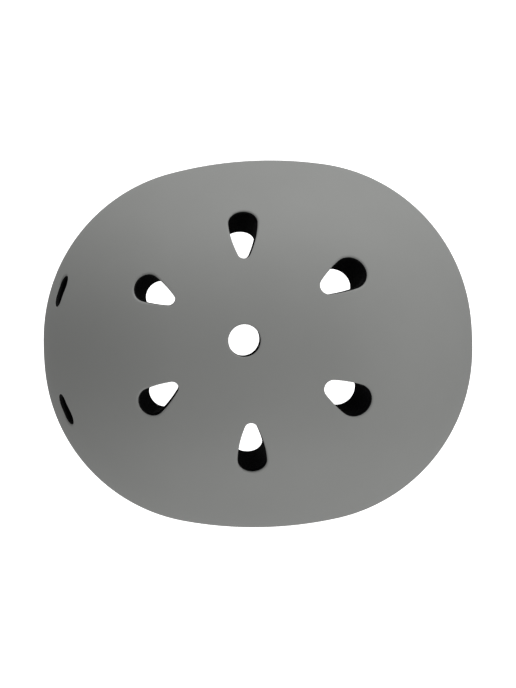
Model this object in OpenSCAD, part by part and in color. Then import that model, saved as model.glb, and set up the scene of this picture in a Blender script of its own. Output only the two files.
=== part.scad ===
// Urban bicycle helmet with a hard shell, a foam liner, a dial fit cradle and a chin strap.
// Millimetres, +Z up. The wearer faces -Y, and the wearer's left is +X.
// The origin is where the wearer's head is held: level with the widest line of the shell,
// midway between its front and rear tips.

/* [Shell] */
// Length of the shell from brow to nape
shell_len = 276; // [264:1:290]
// Width of the shell
shell_w = 236.5; // [226:0.5:244]
// How far behind the middle the shell is widest
wide_y = 2.6; // [0:0.1:6]
// Radius of the long side arcs in plan
side_r = 250; // [235:1:300]
// Radius of the front end in plan
front_r = 109.5; // [102:0.5:112]
// Radius of the rear end in plan
rear_r = 111; // [104:0.5:113]
// Thickness of the hard shell
shell_t = 2.5; // [1.8:0.1:3.2]

/* [Rim] */
// Height of the rim over the brow
brow_z = -20; // [-26:1:-14]
// Height of the rim over the temples
temple_z = -38; // [-42:1:-34]
// Height of the rim over the ears
ear_z = -31; // [-34:1:-26]
// Height of the rim at the nape
nape_z = -56; // [-58:1:-50]
// Where the brow edge starts to drop
brow_end_y = -100; // [-104:1:-92]
// Where the temple is lowest
temple_y = -48; // [-52:1:-42]
// Where the ear cut is highest
ear_y = 6; // [0:1:12]
// Where the nape edge starts
nape_start_y = 72; // [66:1:78]
// Wall of the edge trim
trim_t = 0.9; // [0.6:0.1:1.2]
// Height of the edge trim on the outside of the shell
trim_h = 5; // [4:0.5:6]
// How far the trim's lip reaches under the liner
trim_lip = 4; // [2.5:0.5:5]

/* [Vents] */
// Diameter of the round crown vent
crown_vent_d = 20; // [14:0.5:21]
// Place of the crown vent along the helmet
crown_vent_y = -8.4; // [-12:0.2:-4]
// Side vents from the middle line
side_vent_x = 67.1; // [64:0.1:70]
// Side vents along the helmet
side_vent_y = -6.3; // [-10:0.1:0]
// Length of a side vent
side_vent_len = 36; // [32:0.5:40]
// Diameter of a side vent's wide end
side_vent_wide_d = 18; // [15:0.5:20]
// Diameter of a side vent's narrow end
side_vent_tip_d = 8; // [6:0.5:10]
// Lean of a side vent's channel from upright
side_vent_lean = 25; // [20:1:34]
// How far a side vent's lean turns toward the rear, in degrees
side_vent_turn = 6.5; // [0:0.5:10]
// Front vents from the middle line
front_vent_x = 32.8; // [30:0.1:36]
// Front vents along the helmet
front_vent_y = -63.1; // [-68:0.1:-60]
// Length of a front vent
front_vent_len = 30; // [26:0.5:34]
// Diameter of a front vent's wide end
front_vent_wide_d = 17.5; // [15:0.5:19]
// Diameter of a front vent's narrow end
front_vent_tip_d = 7.5; // [6:0.5:10]
// Lean of a front vent's channel from upright
front_vent_lean = 21; // [16:0.5:26]
// Rear vents from the middle line
rear_vent_x = 37.3; // [34:0.1:41]
// Rear vents along the helmet
rear_vent_y = 54.9; // [50:0.1:59]
// Length of a rear or nape vent
rear_vent_len = 33; // [28:0.5:36]
// Diameter of a rear or nape vent's wide end
rear_vent_wide_d = 21; // [17:0.5:22]
// Diameter of a rear or nape vent's narrow end
rear_vent_tip_d = 11.5; // [8:0.5:13]
// Lean of a rear vent's channel from upright
rear_vent_lean = 28.5; // [22:0.5:32]
// How far a rear vent's lean turns toward the side, in degrees
rear_vent_turn = 6.5; // [0:0.5:10]
// Brow vents from the middle line
brow_vent_x = 37.7; // [33:0.1:42]
// Brow vents along the helmet
brow_vent_y = -124.1; // [-127:0.1:-121]
// Width of a brow vent, which lies across the helmet
brow_vent_w = 20.5; // [16:0.5:26]
// Diameter of a brow vent's outer end
brow_vent_outer_d = 12.5; // [11:0.5:15]
// Diameter of a brow vent's inner end
brow_vent_inner_d = 10.5; // [7:0.5:11]
// Nape vents from the middle line
nape_vent_x = 38; // [34:0.5:44]
// Height of the nape vents
nape_vent_z = -20; // [-24:1:-14]

/* [Liner] */
// Width of the head cavity
cavity_w = 172; // [164:1:176]
// Front wall of the cavity
cavity_front_y = -110; // [-112:0.5:-104]
// Rear wall of the cavity
cavity_rear_y = 110; // [106:0.5:112]
// Height of the cavity's widest line
cavity_z = 8; // [4:1:10]
// Radius of the cavity's long sides in plan
cavity_side_r = 210; // [190:5:260]
// Radius of the cavity's ends in plan
cavity_end_r = 80; // [72:1:83]
// Gap between the shell and the liner
liner_gap = 0.3; // [0.2:0.1:0.6]
// How far the liner stops short of the rim
liner_up = 1; // [0.5:0.5:2]
// How much wider a vent is in the liner than in the shell
vent_relief = 0.3; // [0:0.1:1]
// How far the liner's vents sit from the shell's, across the helmet
liner_vent_x = -1.2; // [-2:0.1:2]
// How far the liner's vents sit from the shell's, along the helmet
liner_vent_y = -1.2; // [-2:0.1:2]

/* [Pads] */
// Thickness of the comfort pads
pad_t = 7; // [5:0.5:8]
// Height of the brow and side pads
pad_h = 22; // [16:1:23]
// Length of a side pad
side_pad_len = 92; // [70:1:100]
// Width across the brow pad's ends
brow_pad_w = 120; // [100:1:128]
// Width of the crown pads
crown_pad_w = 26; // [20:1:28]
// Length of a crown pad
crown_pad_len = 58; // [44:1:60]
// Space that the hook dots take between the pads and the liner
hook_space = 1.6; // [1.2:0.1:2]
// Diameter of a hook dot
hook_d = 14; // [10:1:16]

/* [Straps] */
// Width of the webbing
strap_w = 16; // [14:0.5:17]
// Thickness of the webbing
strap_t = 1.6; // [1.2:0.1:1.8]
// Front strap anchor along the helmet
front_anchor_y = -46; // [-50:1:-42]
// Height of the front strap anchor
front_anchor_z = -20; // [-24:1:-16]
// Rear strap anchor along the helmet
rear_anchor_y = 50; // [46:1:56]
// Height of the rear strap anchor
rear_anchor_z = -28; // [-32:1:-24]
// Length of webbing that lies flat on the shell below a rivet
tab_len = 14; // [12:0.5:16]
// Diameter of a rivet's shank
rivet_d = 4; // [3.5:0.1:4.5]
// Diameter of a rivet's head
rivet_head_d = 9; // [8:0.5:10]
// Diameter of a rivet washer
washer_d = 10; // [9:0.5:12]

/* [Strap dividers] */
// Divider from the middle line
divider_x = 87; // [83:0.5:90]
// Divider along the helmet
divider_y = -28; // [-32:1:-24]
// Height of the divider
divider_z = -94; // [-98:1:-88]
// Width of the divider
divider_w = 34; // [32:1:38]
// Height of the divider's body
divider_h = 28; // [26:1:32]
// Thickness of the divider
divider_t = 7; // [6.5:0.5:8]
// Width of the cam lever
lever_w = 16; // [12:1:18]
// Diameter of the lever's pin
lever_pin_d = 2; // [1.6:0.1:2.4]

/* [Chin strap] */
// Drop from the dividers to the bottom of the chin loop
chin_drop = 92; // [84:1:100]
// How far forward of the dividers the chin lies
chin_forward = 18; // [10:1:20]
// Radius of the loop under the chin
chin_r = 32; // [28:1:36]
// Half of the angle that the chin pad covers
chin_pad_half_angle = 26; // [20:1:30]
// Thickness of the chin pad on each side of the webbing
chin_pad_t = 2.5; // [2:0.5:3.5]

/* [Buckle] */
// Gap along the webbing from the divider to the buckle
buckle_start = 12; // [10:1:14]
// Width of the buckle
buckle_w = 29; // [28:0.5:32]
// Thickness of the buckle
buckle_t = 9; // [8:0.5:10]
// Length of the socket
socket_len = 30; // [29:0.5:34]
// Wall of the socket
socket_wall = 2; // [1.6:0.1:2.4]
// Length of the plug's base
plug_base_len = 14; // [12:0.5:16]
// Length of a prong
prong_len = 18; // [16:0.5:18.5]

/* [Fit cradle] */
// Height of the dial's axis
dial_z = -84; // [-88:1:-82]
// Where the cradle's housing meets the nape pad
housing_y = 98.3; // [96:0.1:99]
// Depth of the housing
housing_d = 9.5; // [9:0.5:10]
// Width of the housing
housing_w = 48; // [46:1:54]
// Wall between the rack channels and the nape pad
housing_wall = 2.4; // [2:0.1:3]
// Diameter of the dial knob
knob_d = 29; // [26:1:30]
// Thickness of the dial knob
knob_t = 8; // [6:0.5:9]
// Finger grooves round the knob
knob_grooves = 18; // [12:1:24]
// Teeth of the pinion
pinion_teeth = 12; // [12:4:12]
// Pitch of the rack teeth, divided by pi
tooth_module = 1; // [0.9:0.05:1]
// Face width of the pinion and the racks
rack_t = 3; // [2.5:0.1:3.5]
// Travel of each band
band_travel = 12; // [8:0.5:12]
// Height of a band's wing
wing_h = 20; // [16:1:22]
// Thickness of a band's wing
wing_t = 2.4; // [2:0.1:3]
// Radius that a wing curves round the head
wing_r = 50; // [44:1:54]
// Angle that a wing covers
wing_angle = 70; // [55:1:75]
// Thickness of the pads on the cradle
nape_pad_t = 5; // [4:0.5:6]
// Width of the height stem
stem_w = 14; // [12:1:18]
// Thickness of the height stem
stem_t = 2; // [1.6:0.1:2.4]
// Top of the height stem
stem_top_z = -8; // [-12:1:-4]
// Height of the stem's anchor on the liner
anchor_z = -26; // [-30:1:-24]

/* [Hidden] */
$fn = 96;

// Clearances
press = 0.02;
turn_gap = 0.05;
slip = 0.15;
clear = 0.3;
easy = 0.6;
// How far a cut runs past the face that it opens, and how far joined solids run into each other
over = 1;

// General helpers
function unit(v) = v / norm(v);
function ease(t) = t <= 0 ? 0 : t >= 1 ? 1 : t * t * (3 - 2 * t);

module place(at, a, b, c) {
    multmatrix([
        [a.x, b.x, c.x, at.x],
        [a.y, b.y, c.y, at.y],
        [a.z, b.z, c.z, at.z],
        [0, 0, 0, 1]
    ]) children();
}

module block(low, high) {
    translate(low) cube(high - low);
}

// A plate with round corners, centred, from z = 0 up
module plate(w, h, t, r) {
    linear_extrude(t) difference() {
        square([w, h], center = true);
        for (sx = [-1, 1]) for (sy = [-1, 1])
            translate([sx * w / 2, sy * h / 2]) difference() {
                square(2 * r, center = true);
                translate([-sx * r, -sy * r]) circle(r);
            }
    }
}

// The plan outline: a long arc at each side and a tighter arc round each end.
// An arc is [y of its centre, x of its centre, radius]. The end arcs stand out from
// the side arc by a hair where they would touch it, so that they cross it cleanly.
seam_lift = 0.02;
seam_lap = 6;
function end_arc(half_w, tip, r, mid_y, long_r) =
    let (y = tip < mid_y ? tip + r : tip - r,
         drop = sqrt(pow(long_r - r, 2) - pow(y - mid_y, 2)))
    [y, half_w - long_r + drop + seam_lift, r];
function outline(half_w, front, rear, end_front, end_rear, long_r) = [
    end_arc(half_w, front, end_front, wide_y, long_r),
    [wide_y, half_w - long_r, long_r],
    end_arc(half_w, rear, end_rear, wide_y, long_r),
    front, rear
];
function seam_y(o, i, inset) =
    o[i][0] + (o[i][2] - inset) * (o[i][0] - o[1][0]) / (o[1][2] - o[i][2]);
function arc_x(a, y) = a[1] + sqrt(pow(a[2], 2) - pow(y - a[0], 2));
function arc_of(o, y) = let (end = y < o[1][0] ? o[0] : o[2])
    y < seam_y(o, 0, 0) || y > seam_y(o, 2, 0) ? end
    : abs(y - end[0]) < end[2] && arc_x(end, y) > arc_x(o[1], y) ? end : o[1];
function half_width(o, y) = arc_x(arc_of(o, y), y);

module end_slice(arc, low, high, inset) {
    square_w = max(arc[1], 0);
    if (square_w > 0) translate([0, low]) square([square_w, high - low]);
    intersection() {
        translate([arc[1], arc[0]]) circle(arc[2] - inset);
        translate([square_w, low]) square([arc[2], high - low]);
    }
}

// Half of an outline, drawn in by inset
module half_outline(o, inset = 0) {
    front_seam = seam_y(o, 0, inset);
    rear_seam = seam_y(o, 2, inset);
    end_slice(o[0], o[3] + inset, front_seam + seam_lap, inset);
    intersection() {
        translate([o[1][1], o[1][0]]) circle(o[1][2] - inset);
        translate([0, front_seam]) square([o[1][2], rear_seam - front_seam]);
    }
    end_slice(o[2], rear_seam - seam_lap, o[4] - inset, inset);
}

module full_outline(o, inset = 0) {
    half_outline(o, inset);
    mirror([1, 0]) half_outline(o, inset);
}

half_w = shell_w / 2;
shell_outline = outline(half_w, -shell_len / 2, shell_len / 2, front_r, rear_r, side_r);
cavity_outline = outline(cavity_w / 2, cavity_front_y, cavity_rear_y,
    cavity_end_r, cavity_end_r, cavity_side_r);

// Turns a half outline about the long axis, with its seam at the bottom
module turned(o, inset) {
    rotate([0, 90, 0]) rotate([-90, 0, 0]) rotate_extrude() half_outline(o, inset);
}

// The shell's outer form, drawn in by inset
module dome(inset = 0) {
    turned(shell_outline, inset);
}

// The head cavity: turned above its widest line, straight below it
module cavity(inset = 0) {
    translate([0, 0, cavity_z]) {
        rotate([-90, 0, 0]) rotate_extrude(angle = 180, start = 180)
            half_outline(cavity_outline, inset);
        mirror([0, 0, 1]) linear_extrude(shell_w / 2) full_outline(cavity_outline, inset);
    }
}

// Rim
function rim_z(y) = brow_z
    + (temple_z - brow_z) * ease((y - brow_end_y) / (temple_y - brow_end_y))
    + (ear_z - temple_z) * ease((y - temple_y) / (ear_y - temple_y))
    + (nape_z - ear_z) * ease((y - ear_y) / (nape_start_y - ear_y));
// Spacing of the rim's points, and how many lie on each side of the middle
rim_step = 6;
rim_points = 26;

module above_rim(lift = 0) {
    reach = rim_points * rim_step;
    rotate([90, 0, 90]) linear_extrude(2 * shell_w, center = true) polygon(concat(
        [for (i = [-rim_points:rim_points]) [i * rim_step, rim_z(i * rim_step) + lift]],
        [[reach, shell_w], [-reach, shell_w]]
    ));
}

// A place on the shell's outside: [point, outward direction]
function wall_at(x, y, side = 1) =
    let (a = arc_of(shell_outline, y), r = half_width(shell_outline, y),
         z = side * sqrt(r * r - x * x), out = (r - a[1]) / a[2] / r)
    [[x, y, z], [out * x, (y - a[0]) / a[2], out * z]];
function wall_by_height(y, z) = let (r = half_width(shell_outline, y))
    wall_at(sqrt(r * r - z * z), y, z < 0 ? -1 : 1);
function rear_wall(x, z) =
    let (a = shell_outline[2], r = norm([x, z]),
         y = a[0] + sqrt(pow(a[2], 2) - pow(r - a[1], 2)), out = (r - a[1]) / a[2] / r)
    [[x, y, z], [out * x, (y - a[0]) / a[2], out * z]];

// Vents
vent_depth = 60;
vent_reach = 10;
// Radius of a teardrop's bowed sides
vent_side_r = 70;
// How far the sides stand in from touching the round ends, so that they cross them
side_sink = 0.02;
// Each vent's wall, channel direction, length, wide end, narrow end and how far it is turned
function vent_outward(wall) = unit([wall[0].x, wall[0].y - crown_vent_y, 0]);
function turned_by(run, turn) =
    [run.x * cos(turn) - run.y * sin(turn), run.x * sin(turn) + run.y * cos(turn), 0];
function leaning(wall, lean, turn = 0) =
    sin(lean) * turned_by(vent_outward(wall), turn) + [0, 0, cos(lean)];
function side_vent(wall) =
    [wall, leaning(wall, side_vent_lean, side_vent_turn),
        side_vent_len, side_vent_wide_d, side_vent_tip_d, 0];
function front_vent(wall) =
    [wall, leaning(wall, front_vent_lean), front_vent_len, front_vent_wide_d, front_vent_tip_d, 0];
function rear_vent(wall, run) =
    [wall, run, rear_vent_len, rear_vent_wide_d, rear_vent_tip_d, 0];
function brow_vent(wall) =
    [wall, wall[1], brow_vent_w, brow_vent_outer_d, brow_vent_inner_d, 90];
function vent_list() = let (
    rear = wall_at(rear_vent_x, rear_vent_y),
    nape = rear_wall(nape_vent_x, nape_vent_z)
) [
    side_vent(wall_at(side_vent_x, side_vent_y)),
    front_vent(wall_at(front_vent_x, front_vent_y)),
    rear_vent(rear, leaning(rear, rear_vent_lean, -rear_vent_turn)),
    brow_vent(wall_at(brow_vent_x, brow_vent_y)),
    rear_vent(nape, nape[1])
];

// A teardrop with its wide end toward +X: two round ends and two bowed sides
module teardrop(length, wide, tip, extra) {
    wide_r = wide / 2;
    tip_r = tip / 2;
    wide_x = length / 2 - wide_r;
    tip_x = tip_r - length / 2;
    to_wide = vent_side_r - wide_r;
    to_tip = vent_side_r - tip_r;
    span = wide_x - tip_x;
    // The middle of the upper side's arc
    mid_x = wide_x - (pow(to_wide, 2) - pow(to_tip, 2) + pow(span, 2)) / (2 * span);
    mid_y = -sqrt(pow(to_wide, 2) - pow(wide_x - mid_x, 2));
    reach = vent_side_r + extra;
    wide_end = mid_x + (wide_x - mid_x) * reach / to_wide;
    tip_end = mid_x + (tip_x - mid_x) * reach / to_tip;
    translate([wide_x, 0]) circle(wide_r + extra);
    translate([tip_x, 0]) circle(tip_r + extra);
    intersection() {
        translate([mid_x, mid_y]) circle(reach - side_sink);
        translate([mid_x, -mid_y]) circle(reach - side_sink);
        translate([tip_end, -wide]) square([wide_end - tip_end, 2 * wide]);
    }
}

module vent_cut(vent, extra) {
    run = vent[1];
    outward = vent_outward(vent[0]);
    along = unit(outward - (outward * run) * run);
    place(vent[0][0], along, cross(run, along), run)
        translate([0, 0, -vent_depth]) linear_extrude(vent_depth + vent_reach)
            rotate(vent[5]) teardrop(vent[2], vent[3], vent[4], extra);
}

module vents(extra = 0) {
    crown = wall_at(0, crown_vent_y);
    place(crown[0], [1, 0, 0], cross(crown[1], [1, 0, 0]), crown[1])
        translate([0, 0, -vent_depth]) cylinder(h = vent_depth + vent_reach, d = crown_vent_d + 2 * extra);
    for (vent = vent_list()) {
        vent_cut(vent, extra);
        mirror([1, 0, 0]) vent_cut(vent, extra);
    }
}

// Strap anchors: a frame at each rivet, with the webbing running down from it
divider_at = [divider_x, divider_y, divider_z];
front_wall_at = wall_by_height(front_anchor_y, front_anchor_z);
rear_wall_at = wall_by_height(rear_anchor_y, rear_anchor_z);

// Dividers: x is outward, y fore and aft, z up the straps
strap_rise = (front_wall_at[0] + rear_wall_at[0]) / 2 - divider_at;
divider_up = unit([strap_rise.x, 0, strap_rise.z]);
divider_out = [divider_up.z, 0, -divider_up.x];

// The front strap passes outside the rear one in the divider
strap_step = strap_t / 2 + easy;
function strap_end(wall) = divider_at + (wall[0].y < divider_y ? 1 : -1) * strap_step * divider_out;
function run_along(wall) =
    let (v = strap_end(wall) - wall[0]) unit(v - (v * wall[1]) * wall[1]);

// Places its children with x down the webbing, y outward and z across the webbing
module at_anchor(wall) {
    down = run_along(wall);
    place(wall[0], down, wall[1], cross(down, wall[1])) children();
}

// Gap between the shell's inside and the webbing
strap_gap = 1.5;
strap_mid = -(shell_t + strap_gap + strap_t / 2);
washer_t = 1;
washer_low = strap_mid - strap_t / 2 - slip - washer_t;

// Pocket in the liner behind each anchor, open down to the rim
pocket_depth = 6;
pocket_side = 3;
pocket_len = 80;
// Gap beside the webbing where it passes the trim
trim_side = 1;

module each_anchor() {
    for (wall = [front_wall_at, rear_wall_at]) {
        at_anchor(wall) children();
        mirror([1, 0, 0]) at_anchor(wall) children();
    }
}

module strap_pockets() {
    half = strap_w / 2 + pocket_side;
    each_anchor() block([-washer_d, washer_low - pocket_depth, -half], [pocket_len, over, half]);
}

module rivet_holes() {
    each_anchor() rotate([-90, 0, 0]) translate([0, 0, -shell_t - over])
        cylinder(h = shell_t + 2 * over, d = rivet_d + 2 * slip);
}

// Shell and liner
module outer_shell() {
    color([0.55, 0.55, 0.52]) difference() {
        intersection() {
            difference() {
                dome();
                dome(shell_t);
            }
            above_rim();
        }
        vents();
        rivet_holes();
    }
}

module eps_liner() {
    color([0.07, 0.07, 0.07]) difference() {
        intersection() {
            difference() {
                dome(shell_t + liner_gap);
                cavity();
            }
            above_rim(liner_up);
        }
        translate([liner_vent_x, liner_vent_y, 0]) vents(vent_relief);
        strap_pockets();
        pin_hole();
    }
}

module edge_trim() {
    half = strap_w / 2 + trim_side;
    color([0.1, 0.1, 0.1]) difference() {
        intersection() {
            difference() {
                dome(-clear - trim_t);
                dome(shell_t + trim_lip);
            }
            above_rim(-clear - trim_t);
        }
        above_rim(trim_h);
        intersection() {
            dome(-clear);
            above_rim(-clear);
        }
        each_anchor() block([0, washer_low - pocket_depth, -half],
            [pocket_len, -shell_t - clear, half]);
    }
}

// Comfort pads, each held by hook dots on the cavity wall
pad_low = cavity_z - pad_h;
module wall_band(low_inset, high_inset, h) {
    translate([0, 0, cavity_z - h]) linear_extrude(h) difference() {
        full_outline(cavity_outline, low_inset);
        full_outline(cavity_outline, high_inset);
    }
}

pad_out = hook_space;
pad_in = hook_space + pad_t;

module brow_pad() {
    color([0.12, 0.12, 0.13]) intersection() {
        wall_band(pad_out, pad_in, pad_h);
        block([-brow_pad_w / 2, cavity_front_y, pad_low - over],
            [brow_pad_w / 2, 0, cavity_z + over]);
    }
}

module side_pad() {
    color([0.12, 0.12, 0.13]) intersection() {
        wall_band(pad_out, pad_in, pad_h);
        block([0, wide_y - side_pad_len / 2, pad_low - over],
            [cavity_w, wide_y + side_pad_len / 2, cavity_z + over]);
    }
}

module left_side_pad() {
    side_pad();
}

module right_side_pad() {
    mirror([1, 0, 0]) side_pad();
}

// Gap between the crown vent and the crown pads
crown_margin = 8;
front_crown_y = crown_vent_y - crown_vent_d / 2 - crown_margin;
rear_crown_y = crown_vent_y + crown_vent_d / 2 + crown_margin;

module crown_band(low_inset, high_inset) {
    translate([0, 0, cavity_z]) difference() {
        turned(cavity_outline, low_inset);
        turned(cavity_outline, high_inset);
    }
}

module crown_pad(from_y, to_y) {
    color([0.12, 0.12, 0.13]) intersection() {
        crown_band(pad_out, pad_in);
        block([-crown_pad_w / 2, from_y, cavity_z], [crown_pad_w / 2, to_y, shell_w]);
    }
}

module front_crown_pad() {
    crown_pad(front_crown_y - crown_pad_len, front_crown_y);
}

module rear_crown_pad() {
    crown_pad(rear_crown_y, rear_crown_y + crown_pad_len);
}

hook_skin = 0.2;
module hook_dots() {
    dot_z = cavity_z - pad_h / 2;
    color([0.2, 0.2, 0.2]) {
        for (x = [-1, 0, 1] * (brow_pad_w / 2 - hook_d)) intersection() {
            wall_band(hook_skin, hook_space - hook_skin, pad_h);
            translate([x, 0, dot_z]) rotate([90, 0, 0]) cylinder(h = shell_len, d = hook_d);
        }
        for (side = [0, 1]) mirror([side, 0, 0])
            for (y = [-1, 1] * (side_pad_len / 2 - hook_d)) intersection() {
                wall_band(hook_skin, hook_space - hook_skin, pad_h);
                translate([0, wide_y + y, dot_z]) rotate([0, 90, 0])
                    cylinder(h = shell_w, d = hook_d);
            }
        for (y = [front_crown_y - hook_d, front_crown_y - crown_pad_len + hook_d,
                  rear_crown_y + hook_d, rear_crown_y + crown_pad_len - hook_d])
            intersection() {
                crown_band(hook_skin, hook_space - hook_skin);
                translate([0, y, 0]) cylinder(h = shell_w, d = hook_d);
            }
    }
}

// Rivets: y is outward in the anchor frame
rivet_head_h = 1.2;
rivet_head_bevel = 1.5;
rivet_end_h = 0.6;
rivet_end_lip = 1;
rivet_low = washer_low - slip - rivet_end_h;

module rivet() {
    rotate([-90, 0, 0]) {
        translate([0, 0, slip]) cylinder(h = rivet_head_h, d1 = rivet_head_d,
            d2 = rivet_head_d - 2 * rivet_head_bevel);
        translate([0, 0, rivet_low]) cylinder(h = slip + rivet_head_h / 2 - rivet_low, d = rivet_d);
        translate([0, 0, rivet_low]) cylinder(h = rivet_end_h, d = rivet_d + 2 * rivet_end_lip);
    }
}

module strap_rivets() {
    color([0.15, 0.15, 0.15]) each_anchor() rivet();
}

module rivet_washers() {
    color([0.6, 0.6, 0.6]) each_anchor() rotate([-90, 0, 0])
        translate([0, 0, washer_low]) difference() {
            cylinder(h = washer_t, d = washer_d);
            translate([0, 0, -over]) cylinder(h = washer_t + 2 * over, d = rivet_d + 2 * slip);
        }
}

// Webbing: a planar path given a thickness, with mitred bends
function path_side(p, i) = let (n = len(p),
    before = i > 0 ? unit(p[i] - p[i - 1]) : unit(p[1] - p[0]),
    after = i < n - 1 ? unit(p[i + 1] - p[i]) : unit(p[n - 1] - p[n - 2]),
    nb = [-before.y, before.x], na = [-after.y, after.x])
    (nb + na) / (1 + nb * na);

module ribbon(p, t, w) {
    n = len(p) - 1;
    linear_extrude(w, center = true) polygon(concat(
        [for (i = [0:n]) p[i] + path_side(p, i) * t / 2],
        [for (i = [n:-1:0]) p[i] - path_side(p, i) * t / 2]
    ));
}

// How far the webbing reaches into a divider
strap_into_divider = 7;

// The webbing's run from a rivet to the divider, made larger by spare
module strap_run(wall, spare = 0) {
    v = strap_end(wall) - wall[0];
    reach = [v * run_along(wall), v * wall[1]];
    bend = [tab_len, strap_mid];
    last = reach - unit(reach - bend) * (divider_h / 2 - strap_into_divider - spare);
    at_anchor(wall) ribbon([[-washer_d / 2 - over, strap_mid], bend, last],
        strap_t + 2 * spare, strap_w + 2 * spare);
}

module side_strap(wall) {
    color([0.09, 0.09, 0.1]) difference() {
        strap_run(wall);
        at_anchor(wall) rotate([-90, 0, 0]) translate([0, 0, strap_mid - strap_t])
            cylinder(h = 2 * strap_t, d = rivet_d + 2 * slip);
    }
}

module left_front_strap() {
    side_strap(front_wall_at);
}

module left_rear_strap() {
    side_strap(rear_wall_at);
}

module right_front_strap() {
    mirror([1, 0, 0]) side_strap(front_wall_at);
}

module right_rear_strap() {
    mirror([1, 0, 0]) side_strap(rear_wall_at);
}

module at_divider() {
    place(divider_at, divider_out, [0, 1, 0], divider_up) children();
}

divider_slot = 2 * strap_step + strap_t + clear;
divider_round = 5;
divider_rail = 2.5;
lever_t = 2.2;
lever_short = 6;
lever_len = divider_h - lever_short;
knuckle_wall = 1.2;
knuckle_r = lever_pin_d / 2 + knuckle_wall;
knuckle_inset = 1;
ear_t = 2.5;
pin_x = divider_t / 2 + clear + knuckle_r;
pin_z = divider_h / 2 - knuckle_r - knuckle_inset;

module divider() {
    color([0.08, 0.08, 0.08]) difference() {
        at_divider() difference() {
            union() {
                translate([-divider_t / 2, 0, 0]) rotate([0, 90, 0]) rotate([0, 0, 90])
                    plate(divider_w, divider_h, divider_t, divider_round);
                for (side = [-1, 1])
                    translate([0, side * (lever_w / 2 + clear + ear_t / 2), pin_z]) {
                        block([0, -ear_t / 2, -knuckle_r], [pin_x, ear_t / 2, knuckle_r]);
                        translate([pin_x, 0, 0]) rotate([90, 0, 0])
                            cylinder(h = ear_t, r = knuckle_r, center = true);
                    }
            }
            block([-divider_slot / 2, -divider_w / 2 + divider_rail, -divider_h],
                [divider_slot / 2, divider_w / 2 - divider_rail, divider_h]);
            translate([pin_x, 0, pin_z]) rotate([90, 0, 0])
                cylinder(h = divider_w, d = lever_pin_d + 2 * press, center = true);
        }
        strap_run(front_wall_at, easy);
        strap_run(rear_wall_at, easy);
        chin_end(easy);
    }
}

module divider_lever() {
    color([0.12, 0.12, 0.12]) at_divider() difference() {
        union() {
            translate([pin_x, 0, pin_z]) rotate([90, 0, 0])
                cylinder(h = lever_w, r = knuckle_r, center = true);
            block([pin_x + knuckle_r - lever_t, -lever_w / 2, pin_z - lever_len],
                [pin_x + knuckle_r, lever_w / 2, pin_z]);
        }
        translate([pin_x, 0, pin_z]) rotate([90, 0, 0])
            cylinder(h = divider_w, d = lever_pin_d + 2 * turn_gap, center = true);
    }
}

module lever_pin() {
    at_divider() translate([pin_x, 0, pin_z]) rotate([90, 0, 0])
        cylinder(h = lever_w + 2 * (clear + ear_t), d = lever_pin_d, center = true);
}

module left_divider() {
    divider();
}

module right_divider() {
    mirror([1, 0, 0]) divider();
}

module left_divider_lever() {
    divider_lever();
}

module right_divider_lever() {
    mirror([1, 0, 0]) divider_lever();
}

module lever_pins() {
    color([0.75, 0.75, 0.75]) {
        lever_pin();
        mirror([1, 0, 0]) lever_pin();
    }
}

// Chin loop: a plane through both dividers and the bottom of the chin.
// In it x is the wearer's left and y is down the loop.
loop_down = unit([0, -chin_forward, -chin_drop]);
loop_depth = norm([chin_forward, chin_drop]) - divider_h / 2;
loop_start = divider_at - divider_up * (divider_h / 2 - strap_into_divider);
loop_x = loop_start.x;
loop_middle = [0, loop_start.y, loop_start.z];
loop_centre = loop_depth - chin_r;
loop_reach = norm([loop_x, loop_centre]);
touch_angle = atan2(-loop_centre, loop_x) + acos(chin_r / loop_reach);
touch = [0, loop_centre] + chin_r * [cos(touch_angle), sin(touch_angle)];
run = unit(touch - [loop_x, 0]);

module in_loop() {
    place(loop_middle, [1, 0, 0], loop_down, cross([1, 0, 0], loop_down)) children();
}

socket_from = divider_h / 2 - strap_into_divider + buckle_start;
plug_face = socket_from + socket_len;
plug_end = plug_face + slip + plug_base_len;
// How far the webbing reaches into each half of the buckle
strap_hold = 8;

// Places its children at the mouth of the socket, with x down the webbing, y across the
// loop's plane and z across the webbing
module at_buckle() {
    in_loop() translate([loop_x, 0, 0] + [run.x, run.y, 0] * plug_face)
        multmatrix([[run.x, -run.y, 0, 0], [run.y, run.x, 0, 0], [0, 0, 1, 0]]) children();
}

// The end of the chin webbing inside a divider, made larger by spare
module chin_end(spare) {
    in_loop() ribbon([[loop_x, 0] - run * spare, [loop_x, 0] + run * buckle_start],
        strap_t + 2 * spare, strap_w + 2 * spare);
}

module left_chin_strap() {
    color([0.09, 0.09, 0.1]) in_loop()
        ribbon([[loop_x, 0], [loop_x, 0] + run * (socket_from + strap_hold)], strap_t, strap_w);
}

chin_steps = 16;
module right_chin_strap() {
    start = [loop_x, 0] + run * (plug_end - strap_hold);
    color([0.09, 0.09, 0.1]) in_loop() ribbon(concat(
        [start],
        [for (i = [0:chin_steps]) let (a = touch_angle + (180 - 2 * touch_angle) * i / chin_steps)
            [0, loop_centre] + chin_r * [cos(a), sin(a)]],
        [[-loop_x, 0]]
    ), strap_t, strap_w);
}

module chin_pad() {
    hole = [strap_t + 2 * easy, strap_w + 2 * easy];
    wall = [chin_pad_t, chin_pad_t];
    color([0.12, 0.12, 0.13]) in_loop() translate([0, loop_centre, 0]) difference() {
        rotate([0, 0, 90 - chin_pad_half_angle]) rotate_extrude(angle = 2 * chin_pad_half_angle)
            translate([chin_r, 0]) square(hole + 2 * wall, center = true);
        rotate_extrude() translate([chin_r, 0]) square(hole, center = true);
    }
}

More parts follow.
